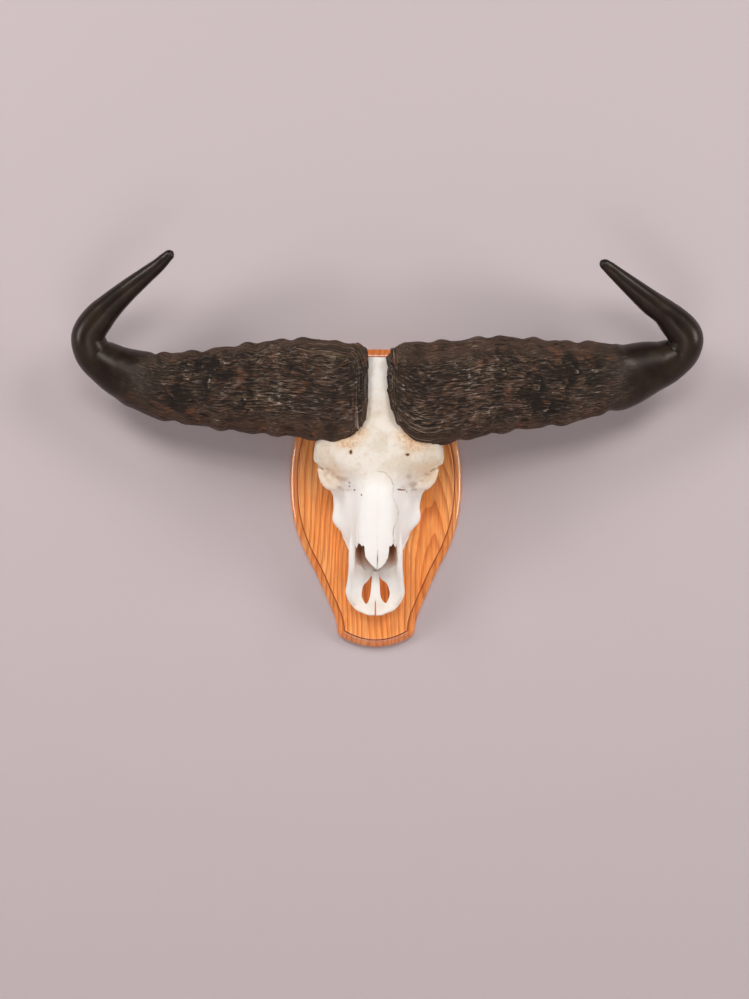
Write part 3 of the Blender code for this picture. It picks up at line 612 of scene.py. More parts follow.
def fibres_group():
    """Thin threads along the first axis: their height, and a mask of the gaps between them."""
    inputs = (("Vector", ORIGIN), ("Threads", 500.0), ("Stretch", 0.05), ("Bend", 0.6), ("Gap", 0.42))
    group, given = new_group("fibres", "ShaderNodeTree", inputs, (("Height", float), ("Gaps", float)))
    x, y, z = separated(given["Vector"])
    height = noise(joined(x * given["Stretch"], y, z), given["Threads"], 4.0, 0.62, given["Bend"])
    return put_out(group, {"Height": height, "Gaps": ranged(height, given["Gap"], given["Gap"] - GAP_EDGE)})


def seam_group():
    """A wandering seam between two bones: 1 where the given distance is nought, and 0 away from it."""
    inputs = (("Distance", 0.0), ("Vector", ORIGIN), ("Width", 0.0006), ("Wander", 0.0015), ("Scale", 260.0))
    group, given = new_group("seam", "ShaderNodeTree", inputs, (("Line", float),))
    sway = (noise(given["Vector"], given["Scale"], 3.0, 0.6) - 0.5) * given["Wander"]
    offset = maths("ABSOLUTE", given["Distance"] + sway)
    return put_out(group, {"Line": ranged(offset, given["Width"], 0.0)})


BLOTCHES = blotches_group()
FIBRES = fibres_group()
SEAM = seam_group()


def blotches(vector, scale, level, softness, detail=4.0):
    inputs = {"Vector": vector, "Scale": scale, "Level": level, "Softness": softness, "Detail": detail}
    return add(vector.tree, "ShaderNodeGroup", inputs, node_tree=BLOTCHES)


def fibres(vector, threads, stretch, bend, gap):
    """The threads' height, and the gaps between them."""
    inputs = {"Vector": vector, "Threads": threads, "Stretch": stretch, "Bend": bend, "Gap": gap}
    node = add_node(vector.tree, "ShaderNodeGroup", inputs, node_tree=FIBRES)
    return [Wave(result) for result in node.outputs]


def seam(distance, vector, width, wander, scale):
    inputs = {"Distance": distance, "Vector": vector, "Width": width, "Wander": wander, "Scale": scale}
    return add(vector.tree, "ShaderNodeGroup", inputs, node_tree=SEAM)


def new_material(name):
    made = bpy.data.materials.new(name)
    made.use_nodes = True
    tree = made.node_tree
    return made, tree, tree.nodes["Principled BSDF"]


def object_place(tree):
    return add(tree, "ShaderNodeTexCoord", output="Object")


def bump(height, distance, strength):
    return add(height.tree, "ShaderNodeBump", {"Height": height, "Distance": distance, "Strength": strength})


def wire(shader, **sockets):
    """Fills the shader's inputs; a name's underscores stand for spaces."""
    fill(shader, {name.replace("_", " "): value for name, value in sockets.items()})


def oak_rings(spot):
    """The year rings of a plain-sawn board: a saw wave of the distance from its tree's pith."""
    x, y, z = separated(spot)
    sway = (noise(spot, (9.0, 9.0, 2.2), 2.0) - 0.5) * RING_SWAY
    across = x - PITH_RIGHT + sway
    depth = y + PITH_OUT + z * PITH_LEAN
    fine = noise(spot, (60.0, 60.0, 6.0), 3.0, 0.6)
    far = maths("SQRT", across * across + depth * depth) + fine * RING_FUZZ
    return maths("FRACT", far * RINGS_PER_METRE)


def oak_material():
    made, tree, shader = new_material("oak_lacquered")
    spot = object_place(tree)
    x, y, z = separated(spot)
    rings = oak_rings(spot)
    late = ranged(rings, 0.35, 0.92) * ranged(rings, 1.0, 0.94)
    threads, _ = fibres(joined(z, x, y), threads=420.0, stretch=0.035, bend=0.3, gap=0.46)
    _, pores = fibres(joined(z, x, y), threads=1500.0, stretch=0.03, bend=0.1, gap=0.40)
    wide = blotches(stretched(spot, (1.0, 1.0, 0.25)), scale=22.0, level=0.38, softness=0.3)
    shade = ranged(threads, 0.35, 0.65, 0.82, 1.12)
    open_pores = pores * ranged(rings, 0.45, 0.0, 0.25, 0.9)
    back = ranged(y, -0.0012, -0.0004)
    wood = painted(OAK_HONEY, ((wide, OAK_LIGHT), (late * 0.7, OAK_LATE)))
    wood = blend(1.0, wood, joined(shade, shade, shade), "MULTIPLY")
    raw = blend(late * 0.5, OAK_RAW, OAK_RAW_LATE)
    groove = attribute(tree, "groove")
    # the groove: partly stain that gathers there, partly painted shade at the foot of the panel's step
    colour = painted(wood, ((open_pores, OAK_PORE), (groove * 0.8, OAK_GROOVE), (back, raw)))
    wire(shader, Base_Color=colour, Roughness=ranged(back, 0.0, 1.0, 0.32, 0.72),
         Normal=bump(threads - open_pores, 0.00012, 0.35), Coat_Weight=ranged(back, 0.0, 1.0, 0.75, 0.0),
         Coat_Roughness=0.07, Coat_IOR=1.5)
    return made


def bone_seams(spot):
    """The seams on the face: the arch over the nose bones, their midline, and the seam beside them."""
    x, y, z = separated(spot)
    across = x - ARCH_MIDDLE[0]
    high = (z - ARCH_MIDDLE[1]) * ARCH_SQUASH
    round_off = maths("SQRT", across * across + high * high)
    arch = seam(round_off - ARCH_RADIUS, spot, width=0.0017, wander=0.0055, scale=170.0)
    arch = arch * ranged(z, 0.006, 0.016) * ranged(x, -0.008, 0.014, 0.12, 1.2)
    lean = x - ranged(z, -0.115, 0.04, 0.0012, 0.0042, smooth=False)
    middle = seam(lean, spot, width=0.00045, wander=0.0008, scale=120.0)
    middle = middle * ranged(z, 0.036, 0.03) * ranged(z, -0.03, -0.075, 0.35, 0.8)
    side = seam(attribute(spot.tree, "beside"), spot, width=0.0019, wander=0.003, scale=140.0)
    side = side * ranged(z, 0.014, 0.010) * ranged(z, -0.076, -0.070)
    return larger(middle, larger(arch, side)) * ranged(y, -0.095, -0.12)


def bone_material():
    made, tree, shader = new_material("bone_bleached")
    spot = object_place(tree)
    crust, deep, warm = (attribute(tree, name) for name in ("crust", "deep", "warm"))
    cream = blotches(spot, scale=34.0, level=0.36, softness=0.3)
    speck = blotches(spot, scale=150.0, level=0.55, softness=0.12)
    seams = bone_seams(spot)
    crumbs = noise(spot, 200.0, 4.0, 0.6)
    clumps = ranged(noise(spot, 110.0, 3.0, 0.6), 0.38, 0.58, 0.45, 1.25)
    broken = ranged(noise(spot, 75.0, 2.0), 0.4, 0.6, 0.2, 0.72)
    fine = noise(spot, 900.0, 3.0, 0.6)
    colour = painted(BONE, (
        # warm is the bone's own cream tone, and on the floor of the nose a painted warm shade
        (maths("MULTIPLY", warm, ranged(cream, 0.0, 1.0, 0.72, 1.12), clamp=True), BONE_CREAM),
        (attribute(tree, "golden") * ranged(cream, 0.0, 1.0, 0.7, 1.0), BONE_GOLD),
        # the stain blots: partly real stains, partly painted shade in creases, hollows and openings
        (attribute(tree, "stain") * ranged(cream, 0.0, 1.0, 0.45, 0.75), BONE_TAN),
        (speck * ranged(warm, 0.2, 0.9, 0.0, 0.22), BONE_TAN),
        # painted shade: the hollows, where most short rays hit the skull, are painted tan
        (attribute(tree, "hollow") * ranged(speck, 0.0, 1.0, 0.25, 0.6), BONE_TAN),
        (maths("MULTIPLY", crust, clumps, clamp=True), BONE_CRUST),
        (ranged(crust, 0.12, 0.75) * ranged(crumbs, 0.50, 0.38, 0.0, 0.62), BONE_RED),
        (seams * broken, BONE_SEAM),
        # the inside of the nose, darker higher up under the nose bones: partly the bone's own brown, partly
        # painted shade
        (ranged(deep, 0.0, 0.55, 0.0, 0.8), BONE_RED),
        (ranged(deep, 0.35, 1.0), BONE_BROWN),
    ))
    height = fine * 0.25 + ranged(crumbs, 0.4, 0.6) * crust * 1.6 - seams * 1.6
    wire(shader, Base_Color=colour, Roughness=ranged(fine, 0.3, 0.7, 0.5, 0.66),
         Normal=bump(height, 0.0005, 0.6), Subsurface_Weight=0.06, Subsurface_Scale=0.004,
         Subsurface_Radius=(1.0, 0.55, 0.3))
    return made


def enamel_material():
    made, tree, shader = new_material("tooth_enamel")
    spot = object_place(tree)
    stain = blotches(stretched(spot, (1.0, 0.3, 1.0)), scale=210.0, level=0.46, softness=0.2)
    fine = noise(spot, 700.0, 3.0, 0.6)
    colour = blend(stain * 0.75, ENAMEL, ENAMEL_STAIN)
    wire(shader, Base_Color=colour, Roughness=ranged(fine, 0.3, 0.7, 0.26, 0.42),
         Normal=bump(fine, 0.0003, 0.4), Coat_Weight=0.25, Coat_Roughness=0.15)
    return made


def horn_material():
    """Fibrous and crumbling over the rough half, turned by the rim, and dark and polished on the hook."""
    made, tree, shader = new_material("horn_keratin")
    line = attribute(tree, "line", "Vector")
    names = ("rough", "relief", "edge", "band", "rim")
    rough, relief, edge, band, rim = (attribute(tree, name) for name in names)
    length, up, side = separated(line)
    by_rim = ranged(rim, 0.034, 0.022) * ranged(length, 0.15, 0.09)
    turned = joined(up * 0.1, rim, side * 0.1)
    threads, _ = fibres(line, threads=760.0, stretch=0.07, bend=0.06, gap=0.5)
    coarse, gaps = fibres(line, threads=360.0, stretch=0.06, bend=0.12, gap=0.46)
    years, _ = fibres(turned, threads=420.0, stretch=0.3, bend=0.1, gap=0.46)
    rust = blotches(line, scale=40.0, level=0.57, softness=0.12, detail=2.0)
    olive = blotches(line, scale=24.0, level=0.42, softness=0.2, detail=2.0)
    shades = noise(line, (22.0, 30.0, 30.0), 3.0, 0.6)
    flakes = ranged(noise(line, (90.0, 300.0, 300.0), 2.0), 0.55, 0.66)
    patch = ranged(noise(line, (26.0, 34.0, 34.0), 2.0), 0.40, 0.58, 0.5, 1.0)
    grain = add(tree, "ShaderNodeMix", {0: by_rim, 2: threads, 3: years})
    strands = ranged(grain, 0.44, 0.58) * patch
    # painted highlight: the raised fibre crests are painted pale grey as glints
    crest_glint = ranged(grain, 0.57, 0.67) * ranged(relief, 0.48, 0.78, 0.10, 1.0) * patch
    chipped = flakes * ranged(edge, 0.0, 1.0, 0.25, 1.0) * band
    fibrous = painted(HORN_BLACK, (
        (strands, blend(olive, HORN_BROWN, HORN_OLIVE)),
        (ranged(band, 0.0, 1.0, 0.7, 0.0), HORN_PLAIN),
        (rust * ranged(strands, 0.0, 1.0, 0.3, 0.85), HORN_RUST),
        # pale grey for the painted glints on the crests and for the worn chips
        (larger(crest_glint, chipped), HORN_GLINT_AND_CHIP_GREY),
    ))
    streaks = ranged(coarse, 0.42, 0.6, 0.3, 0.8)
    smooth = painted(HORN_BLACK, ((streaks, HORN_POLISH), (olive * 0.08, HORN_OLIVE)))
    # painted shade in the troughs and the gaps between fibres, with random dark patches
    pit_shade_and_patches = larger(ranged(relief, 0.45, 0.25) * rough, gaps * rough * band)
    pit_shade_and_patches = larger(pit_shade_and_patches, ranged(shades, 0.46, 0.32, 0.0, 0.7) * rough)
    colour = painted(smooth, ((rough, fibrous), (pit_shade_and_patches * 0.92, HORN_PIT_SHADE)))
    height = (grain + coarse * 1.2) * ranged(band, 0.0, 1.0, 0.3, 1.0) * ranged(rough, 0.0, 1.0, 0.012, 1.0)
    sheen = (grain - 0.5) * ranged(rough, 0.0, 1.0, -0.05, -0.5)
    wire(shader, Base_Color=colour, Roughness=ranged(rough, 0.0, 0.8, 0.33, 0.58) + sheen,
         Normal=bump(height, 0.0030, 1.0), Specular_IOR_Level=0.30, Specular_Tint=(1.0, 0.88, 0.80, 1.0))
    return made


def stage_material():
    """Plain pale paint that only shows from the front, and lets light through to what is behind it."""
    made, tree, shader = new_material("plain_backdrop")
    wire(shader, Base_Color=(*WALL, 1.0), Roughness=0.9)
    behind = add(tree, "ShaderNodeNewGeometry", output="Backfacing")
    shadow = add(tree, "ShaderNodeLightPath", output="Is Shadow Ray")
    clear = add(tree, "ShaderNodeBsdfTransparent")
    inputs = {0: larger(behind, shadow), 1: Wave(shader.outputs[0]), 2: clear}
    mixed = add(tree, "ShaderNodeMixShader", inputs)
    fill(tree.nodes["Material Output"], {"Surface": mixed})
    return made


def keep(geometry, name, value):
    """Stores a number on each point, for the finish to read."""
    inputs = {"Geometry": geometry, "Name": name, "Value": value}
    return add(geometry.tree, "GeometryNodeStoreNamedAttribute", inputs, data_type="FLOAT", domain="POINT")


def raised(geometry, height):
    """The geometry with each point moved outwards by a height."""
    tree = geometry.tree
    inputs = {0: add(tree, "GeometryNodeInputNormal"), "Scale": height}
    offset = add(tree, "ShaderNodeVectorMath", inputs, operation="SCALE")
    return add(tree, "GeometryNodeSetPosition", {"Geometry": geometry, "Offset": offset})


def end_tree(tree, geometry, given):
    """Ends a tree: real geometry, in its finish."""
    real = add(tree, "GeometryNodeRealizeInstances", {"Geometry": geometry})
    covered = add(tree, "GeometryNodeSetMaterial", {"Geometry": real, "Material": given["Finish"]})
    return put_out(tree, {"Geometry": covered})


def grow(thing, tree, **values):
    """Runs a tree on the object with these inputs, and keeps the plain mesh that it makes."""
    modifier = thing.modifiers.new(tree.name, "NODES")
    modifier.node_group = tree
    for item in tree.interface.items_tree:
        label = item.name.replace(" ", "_").lower()
        if item.in_out == "INPUT" and label in values:
            modifier[item.identifier] = values[label]
    settle(thing)
    thing.data.shade_smooth()


# The plaque.


def plaque_outline():
    """The plaque's outer edge, clockwise from the middle of the top, as (x, z) points in millimetres."""
    top, side = flat_curve(PLAQUE_TOP_EDGE, PLAQUE_TOP_STEPS), flat_curve(PLAQUE_SIDE, PLAQUE_SIDE_STEPS)
    half = [*top, *side, PLAQUE_ANKLE]
    middle_x, middle_z = PLAQUE_FOOT[0] - PLAQUE_CORNER, PLAQUE_FOOT[1]
    for turn in np.radians(PLAQUE_CORNER_TURNS):
        half.append((middle_x + PLAQUE_CORNER * math.cos(turn), middle_z + PLAQUE_CORNER * math.sin(turn)))
    last_x, last_z = half[-1]
    for share in PLAQUE_BASE_SHARES:
        half.append((last_x * share, PLAQUE_BOTTOM + (last_z - PLAQUE_BOTTOM) * share**2))
    left = [(-x, z) for x, z in reversed(half[1:-1])]
    return np.array(half + left, float)


def inset(outline, distance):
    """The outline moved inwards by a distance, corners staying corners."""
    before = outline - np.roll(outline, 1, axis=0)
    after = np.roll(outline, -1, axis=0) - outline
    inwards = []
    for edge in (before, after):
        unit = edge / np.linalg.norm(edge, axis=1, keepdims=True)
        inwards.append(np.stack([unit[:, 1], -unit[:, 0]], axis=1))
    middle = inwards[0] + inwards[1]
    return outline + distance * 2 * middle / (middle * middle).sum(axis=1, keepdims=True)


def make_plaque(finish):
    outline = plaque_outline()
    shape = bmesh.new()
    add_rings(shape, [[(x, -out, z) for x, z in inset(outline, inwards)] for inwards, out in MOULDING])
    plaque = object_of(shape, "oak_plaque")
    end_grain = np.abs((inset(outline, 1.0) - outline)[:, 1]).clip(0, 1)
    stains = []
    for inwards, _ in MOULDING:
        # darker across the grain at top and bottom: end grain stain, and painted shade on the bottom moulding
        thin = (MOULDING_STAIN + END_GRAIN_STAIN_AND_SHADE * end_grain) * fade(inwards, *MOULDING_END)
        stains.append(np.maximum(thin, fade(inwards, *GROOVE_START) * fade(inwards, *GROOVE_END)))
    mark(plaque, "groove", np.concatenate(stains))
    plaque.data.materials.append(finish)
    plaque.data.shade_smooth()
    plaque.data.set_sharp_from_angle(angle=math.radians(PLAQUE_SHARP))
    return plaque


# The horns.


def squared(wave, power):
    """A sine or cosine made squarer by a power below 1."""
    return np.sign(wave) * np.abs(wave) ** power


def horn_skin(name, rows, fray=((0, 0),)):
    """A horn's skin before its growth, with each point's place along and around the horn stored on it."""
    path = along(rows, HORN_STATIONS)
    spots = path[:, :3] * (1, -1, 1)
    outwards = np.sign(rows[1][0] - rows[0][0])
    share = np.linspace(0, 1, HORN_STATIONS)
    rough = fade(share, HORN_ROUGH_END, HORN_ROUGH_END - HORN_ROUGH_FADE)
    fibrous = fade(share, HORN_FIBRE_END, HORN_FIBRE_END - HORN_FIBRE_FADE)
    turned = np.clip((share - HORN_TURN_START) / (HORN_TURN_END - HORN_TURN_START), 0, 1)[:, None]
    tangents = np.gradient(spots, axis=0)
    lengths = np.concatenate([[0.0], np.cumsum(np.linalg.norm(np.diff(spots, axis=0), axis=1))])
    tangents /= np.linalg.norm(tangents, axis=1, keepdims=True)
    headings = (1 - turned) * (outwards, 0, 0) + turned * tangents
    headings /= np.linalg.norm(headings, axis=1, keepdims=True)
    angles = round_angles(HORN_SIDES)
    rings, lines, roughs, rims, bands = [], [], [], [], []
    for k, (spot, heading) in enumerate(zip(spots, headings)):
        rise = np.cross(heading, (0, 1, 0))
        rise /= np.linalg.norm(rise)
        depth = np.cross(heading, rise)
        turns = math.tau * HORN_RIDGES * share[k] / HORN_ROUGH_END
        strong = np.sin(turns + HORN_RIDGE_BEND * np.sin(2 * angles + HORN_RIDGE_START))
        weak = np.sin(HORN_OFF_BEAT * turns + angles)
        swell = 1 + rough[k] * HORN_RIDGE_HIGH * (HORN_STRONG * strong + HORN_WEAK * weak) / path[k, 3]
        ends = min(lengths[k] / HORN_BASE_ROUND, (lengths[-1] - lengths[k]) / HORN_TIP_ROUND, 1.0)
        closing = math.sqrt(1 - HORN_END_CLOSING * (1 - ends) ** 2)
        power = HORN_BASE_SQUARE + (1 - HORN_BASE_SQUARE) * min(share[k] / HORN_SQUARE_END, 1.0)
        up = closing * path[k, 3] * squared(np.cos(angles), power)
        side = closing * path[k, 4] * squared(np.sin(angles), power)
        ring = spot + swell[:, None] * (up[:, None] * rise + side[:, None] * depth)
        bite = np.interp(ring[:, 2], *np.array(fray, float).T)
        ring[:, 0] += outwards * bite * fade(lengths[k], HORN_FRAY_DEEP, HORN_BASE_ROUND)
        rings.append(ring)
        lines.append(np.stack([np.full(HORN_SIDES, lengths[k]), up, side], axis=1) * MM)
        roughs.append(np.full(HORN_SIDES, fibrous[k]))
        from_end = np.maximum(HORN_RIM_ROUND - lengths[k], 0)
        from_foot = np.maximum(HORN_RIM_ROUND - path[k, 3] - up, 0)
        rims.append((HORN_RIM_ROUND - np.hypot(from_end, from_foot)) * MM)
        bands.append(fade(up / path[k, 3], *HORN_BAND_TOP) * fade(up / path[k, 3], *HORN_BAND_FOOT))
    shape = bmesh.new()
    add_rings(shape, rings)
    skin = object_of(shape, name)
    for label, values in (("line", lines), ("rough", roughs), ("rim", rims), ("band", bands)):
        mark(skin, label, np.concatenate(values))
    return skin


def growth_tree():
    """The horn's growth on its skin: swells, overlapping layers, fibres along it, cracks and scales."""
    inputs = (("Geometry", "geometry"), ("Swell Height", 0.0022), ("Layer Height", 0.0015),
              ("Fibre Height", 0.0008), ("Crack Depth", 0.0016), ("Scale Height", 0.0012),
              ("Rim Line Height", 0.0020), ("Finish", "material"))
    tree, given = new_group("horn growth", "GeometryNodeTree", inputs, (("Geometry", "geometry"),))
    line = stored(tree, "line", "FLOAT_VECTOR")
    rough, rim, band = (stored(tree, name) for name in ("rough", "rim", "band"))
    length, _, _ = separated(line)
    swells = noise(line, (20.0, 12.0, 12.0), 2.0, 0.45, 0.3)
    sway = noise(line, (10.0, 20.0, 20.0), 3.0, 0.6) * LAYER_SWAY
    layers = maths("FRACT", length * LAYERS_PER_METRE + sway)
    step = ranged(layers, 0.0, 0.9, smooth=False) * ranged(layers, 1.0, 0.93)
    kept = ranged(noise(line, 26.0, 2.0), 0.42, 0.56) * band
    threads = noise(line, (30.0, 300.0, 300.0), 2.0, 0.55, 0.05)
    cracks = noise(line, (13.0, 120.0, 120.0), 2.0, 0.5, 0.15)
    split = ranged(maths("ABSOLUTE", cracks - 0.5), 0.035, 0.0)
    cracked = ranged(noise(line, 34.0, 1.0), 0.42, 0.56)
    cells = {"Vector": stretched(line, (60.0, 110.0, 110.0)), "Scale": 1.0, "Randomness": 1.0}
    scales = add(tree, "ShaderNodeTexVoronoi", cells, "Color", feature="F1")
    plate = add(tree, "FunctionNodeSeparateColor", {0: scales})
    worn = ranged(noise(line, 14.0, 2.0), 0.48, 0.6)
    frayed = noise(line, (45.0, 45.0, 45.0), 3.0, 0.6)
    years = maths("FRACT", rim * YEARS_PER_METRE + frayed * YEAR_SWAY)
    lip = ranged(years, 0.0, 0.7, smooth=False) * ranged(years, 1.0, 0.8)
    by_rim = ranged(rim, 0.040, 0.022) * ranged(length, 0.16, 0.10)
    off_rim = ranged(by_rim, 0.0, 1.0, 1.0, 0.15, smooth=False)
    by_band = ranged(band, 0.0, 1.0, 0.25, 1.0, smooth=False)
    height = (lip - 0.5) * by_rim * given["Rim Line Height"]
    height = height + (swells - 0.5) * (given["Swell Height"] * 3.0)
    height = height + (step - 0.5) * kept * given["Layer Height"]
    height = height + (threads - 0.5) * by_band * off_rim * (given["Fibre Height"] * 3.0)
    height = height - split * cracked * off_rim * given["Crack Depth"]
    height = (height + plate * worn * given["Scale Height"]) * rough
    edge = ranged(layers, 0.7, 0.86) * ranged(layers, 0.98, 0.93)
    skin = raised(given["Geometry"], height)
    skin = keep(skin, "relief", ranged(height, -0.0025, 0.0025, smooth=False))
    skin = keep(skin, "edge", edge * kept * rough)
    return end_tree(tree, skin, given)


# The skull.


def thin_out(thing, triangles):
    """Brings the object to about this many triangles."""
    thing.data.calc_loop_triangles()
    change(thing, "DECIMATE", ratio=min(1.0, triangles / len(thing.data.loop_triangles)))


def subtract(thing, cutter):
    """Cuts one object out of another, and removes it."""
    change(thing, "BOOLEAN", operation="DIFFERENCE", solver="MANIFOLD", object=cutter)
    bpy.data.objects.remove(cutter, do_unlink=True)


def keep_largest_body(thing):
    """Deletes the crumbs that a cut leaves beside the main body."""
    shape = bmesh.new()
    shape.from_mesh(thing.data)
    waiting = set(shape.verts)
    bodies = []
    while waiting:
        body = {waiting.pop()}
        edge = list(body)
        while edge:
            corner = edge.pop()
            near = {side.other_vert(corner) for side in corner.link_edges} - body
            body |= near
            edge += list(near)
        waiting -= body
        bodies.append(body)
    largest = max(bodies, key=len)
    crumbs = [corner for corner in shape.verts if corner not in largest]
    bmesh.ops.delete(shape, geom=crumbs, context="VERTS")
    shape.to_mesh(thing.data)
    shape.free()


def add_cranium(shape):
    """The braincase, forehead, nose roof and upper jaws, as one body through the half sections."""
    rows = [(0, 0, z, *(number for point in half for number in point)) for z, half in CRANIUM]
    rings = []
    for row in along(rows, CRANIUM_STATIONS):
        half = row[3:].reshape(-1, 2)
        other = half[-2:0:-1] * (-1, 1)
        outline = closed_curve(np.concatenate([half, other]), CRANIUM_SPAN_STEPS)
        rings.append([(x, -out, row[2]) for x, out in outline])
    add_rings(shape, rings)


def add_nose_roof(shape):
    """The nose bones, a flattened body across the midline."""
    rings = []
    for z, width, out, thick in by_height(NASALS, NASAL_STATIONS):
        rings.append([(width * squared(math.cos(a), NASAL_SQUARE), -out + thick * math.sin(a), z)
                      for a in round_angles(NASAL_SIDES)])
    add_rings(shape, rings)


def add_socket(shape, side, profile):
    """A turned body about an eye socket's axis, through (distance along it, radius) pairs, with flat ends."""
    x, out, z = SOCKET
    forward, down = math.radians(SOCKET_FORWARD), math.radians(SOCKET_DOWN)
    level = math.cos(down)
    way = np.array((side * math.cos(forward) * level, -math.sin(forward) * level, -math.sin(down)))
    centre = np.array((side * x, -out, z))
    add_rings(shape, [circle(centre + distance * way, way, radius, SOCKET_SIDES)
                      for distance, radius in profile])


def add_gums(shape):
    """The bone that holds the cheek teeth."""
    for side in (-1, 1):
        for z, length, width, x in TEETH:
            radii = (width + GUM_BEYOND[0], TOOTH_ROOT - GUM_DEPTH, length + GUM_BEYOND[1])
            add_ball(shape, (side * x, TOOTH_ROOT, z), radii)
        add_rod(shape, [(side * x, GUM_RIDGE, z, width + GUM_RIDGE_BEYOND) for z, _, width, x in TEETH])


def skull_solids():
    shape = bmesh.new()
    add_cranium(shape)
    for side in (-1, 1):
        add_socket(shape, side, SOCKET_WALL)
    add_nose_roof(shape)
    for rows in PAIRED_RODS:
        for way in both_sides(rows):
            add_rod(shape, way)
    for x, out, z, radius in (*CONDYLES, EAR_BULB):
        for side in (-1, 1):
            add_ball(shape, (side * x, out, z), (radius, radius, BALL_STRETCH * radius))
    add_gums(shape)
    return object_of(shape, "skull_bone")


def hollow_cutters():
    """The eye sockets, the holes behind them, the inside of the nose and the canal at the nape."""
    shape = bmesh.new()
    for side in (-1, 1):
        add_socket(shape, side, SOCKET_BOWL)
    for way in both_sides(OPTIC_HOLE):
        add_rod(shape, way)
    rings = []
    for z, width, high, low in by_height(NOSE_CAVITY, NOSE_STATIONS):
        rings.append([(width * math.cos(a), -(high + low) / 2 + (high - low) / 2 * math.sin(a), z)
                      for a in round_angles(NOSE_SIDES)])
    add_rings(shape, rings)
    add_rod(shape, NAPE_CANAL)
    return object_of(shape, "hollow cutters")


def pulled_in(x, pull):
    """A nose window's x, with its outer edge pulled in towards the middle."""
    return x - math.copysign(pull * fade(abs(x), *NOSE_WINDOW_EDGE), x)


def opening_cutters(skull):
    """The crisp openings of the face: nose windows, slots, slits, clefts and foramina."""
    shape = bmesh.new()
    for window in (NOSE_WINDOW_LEFT, NOSE_WINDOW_RIGHT):
        add_rings(shape, [[(pulled_in(x, pull), -out, z) for x, z in window]
                          for out, pull in NOSE_WINDOW_DEPTHS])
    for slot in (PALATE_LEFT, PALATE_RIGHT):
        add_prism(shape, closed_curve(slot, SLOT_SPAN_STEPS), SLOT_DEPTH)
    add_prism(shape, JAW_SLIT, SLOT_DEPTH)
    add_prism(shape, NASAL_SLIT, NASAL_SLIT_DEPTH)
    for cleft in RIM_CLEFTS:
        add_prism(shape, cleft, CLEFT_DEPTH)
    for x, z, wide, high, deep in FORAMINA:
        _, spot, _, _ = skull.ray_cast(Vector((x, -FORAMEN_SEARCH, z)) * MM, Vector((0, 1, 0)))
        rings = []
        for share, size in FORAMEN_RINGS:
            y = spot.y / MM - share * deep
            rings.append([(x + size * wide * math.cos(a), y, z + size * high * math.sin(a))
                          for a in round_angles(FORAMEN_SIDES)])
        add_rings(shape, rings)
    return object_of(shape, "opening cutters")


def add_vomer(thing):
    """Adds the thin bone that stands along the floor of the nose."""
    shape = bmesh.new()
    shape.from_mesh(thing.data)
    add_rod(shape, VOMER)
    shape.to_mesh(thing.data)
    shape.free()


def midline_at(height):
    """How far to the right the midline stands at a height, both in millimetres."""
    return np.interp(height, *np.array(MIDLINE).T)


def lean_midline(thing):
    spots = points_of(thing)
    spots[:, 0] += midline_at(spots[:, 2] / MM) * MM
    thing.data.vertices.foreach_set("co", spots.ravel())
    thing.data.update()


def skull_body():
    """The bone before its surface is worked: one closed skin."""
    skull = skull_solids()
    hollows = hollow_cutters()
    change(skull, "REMESH", mode="VOXEL", voxel_size=SKULL_VOXEL)
    change(hollows, "REMESH", mode="VOXEL", voxel_size=SKULL_VOXEL / 2)
    subtract(skull, hollows)
    add_vomer(skull)
    change(skull, "REMESH", mode="VOXEL", voxel_size=SKULL_VOXEL)
    change(skull, "SMOOTH", factor=SOFTEN_FACTOR, iterations=SOFTEN_ROUNDS)
    lean_midline(skull)
    subtract(skull, opening_cutters(skull))
    thin_out(skull, SKULL_TRIANGLES)
    keep_largest_body(skull)
    return skull


def openness_of(thing):
    """How open each point lies, from 0 in a deep hollow to 1 on an open face."""
    tree = BVHTree.FromObject(thing, bpy.context.evaluated_depsgraph_get())
    spots, ways = points_of(thing), normals_of(thing)
    seen = np.zeros(len(spots))
    for direction in RAY_WAYS:
        for k, (spot, way) in enumerate(zip(spots, ways)):
            aim = Vector(way + RAY_SPREAD * direction)
            hit = tree.ray_cast(Vector(spot) + Vector(way) * RAY_LIFT, aim, RAY_FAR)[3]
            seen[k] += 1 if hit is None else hit / RAY_FAR
    return smooth_over(thing, seen / len(RAY_WAYS), RAY_SMOOTHING)


def smooth_over(thing, values, rounds):
    """Evens out values on the vertices along the edges."""
    ends = np.empty(2 * len(thing.data.edges), int)
    thing.data.edges.foreach_get("vertices", ends)
    first, second = ends.reshape(-1, 2).T
    counts = np.bincount(ends, minlength=len(values))
    for _ in range(rounds):
        total = np.bincount(first, values[second], len(values))
        total += np.bincount(second, values[first], len(values))
        values = 0.5 * values + 0.5 * total / counts
    return values


def nearness(spots, things, reach):
    """Each point's distance to the nearest of the things, in metres, and reach where none is that near."""
    graph = bpy.context.evaluated_depsgraph_get()
    trees = [BVHTree.FromObject(thing, graph) for thing in things]
    far = np.empty(len(spots))
    for k, spot in enumerate(spots):
        found = [tree.find_nearest(Vector(spot), reach)[3] for tree in trees]
        far[k] = min((d for d in found if d is not None), default=reach)
    return far


def crust_on(spots, x, out, z, horns):
    """How porous the bone is: most so in two places under the horns, and a little all along their edges."""
    crust = np.full(len(spots), CRUST_LEAST)
    for crust_x, crust_z in CRUST_SPOTS:
        away = np.hypot((x - crust_x) / CRUST_WIDE, z - crust_z)
        crust = np.maximum(crust, fade(away, 32, 14))
    return crust * fade(nearness(spots, horns, CRUST_REACH), CRUST_REACH, CRUST_FULL) * fade(out, 60, 90)


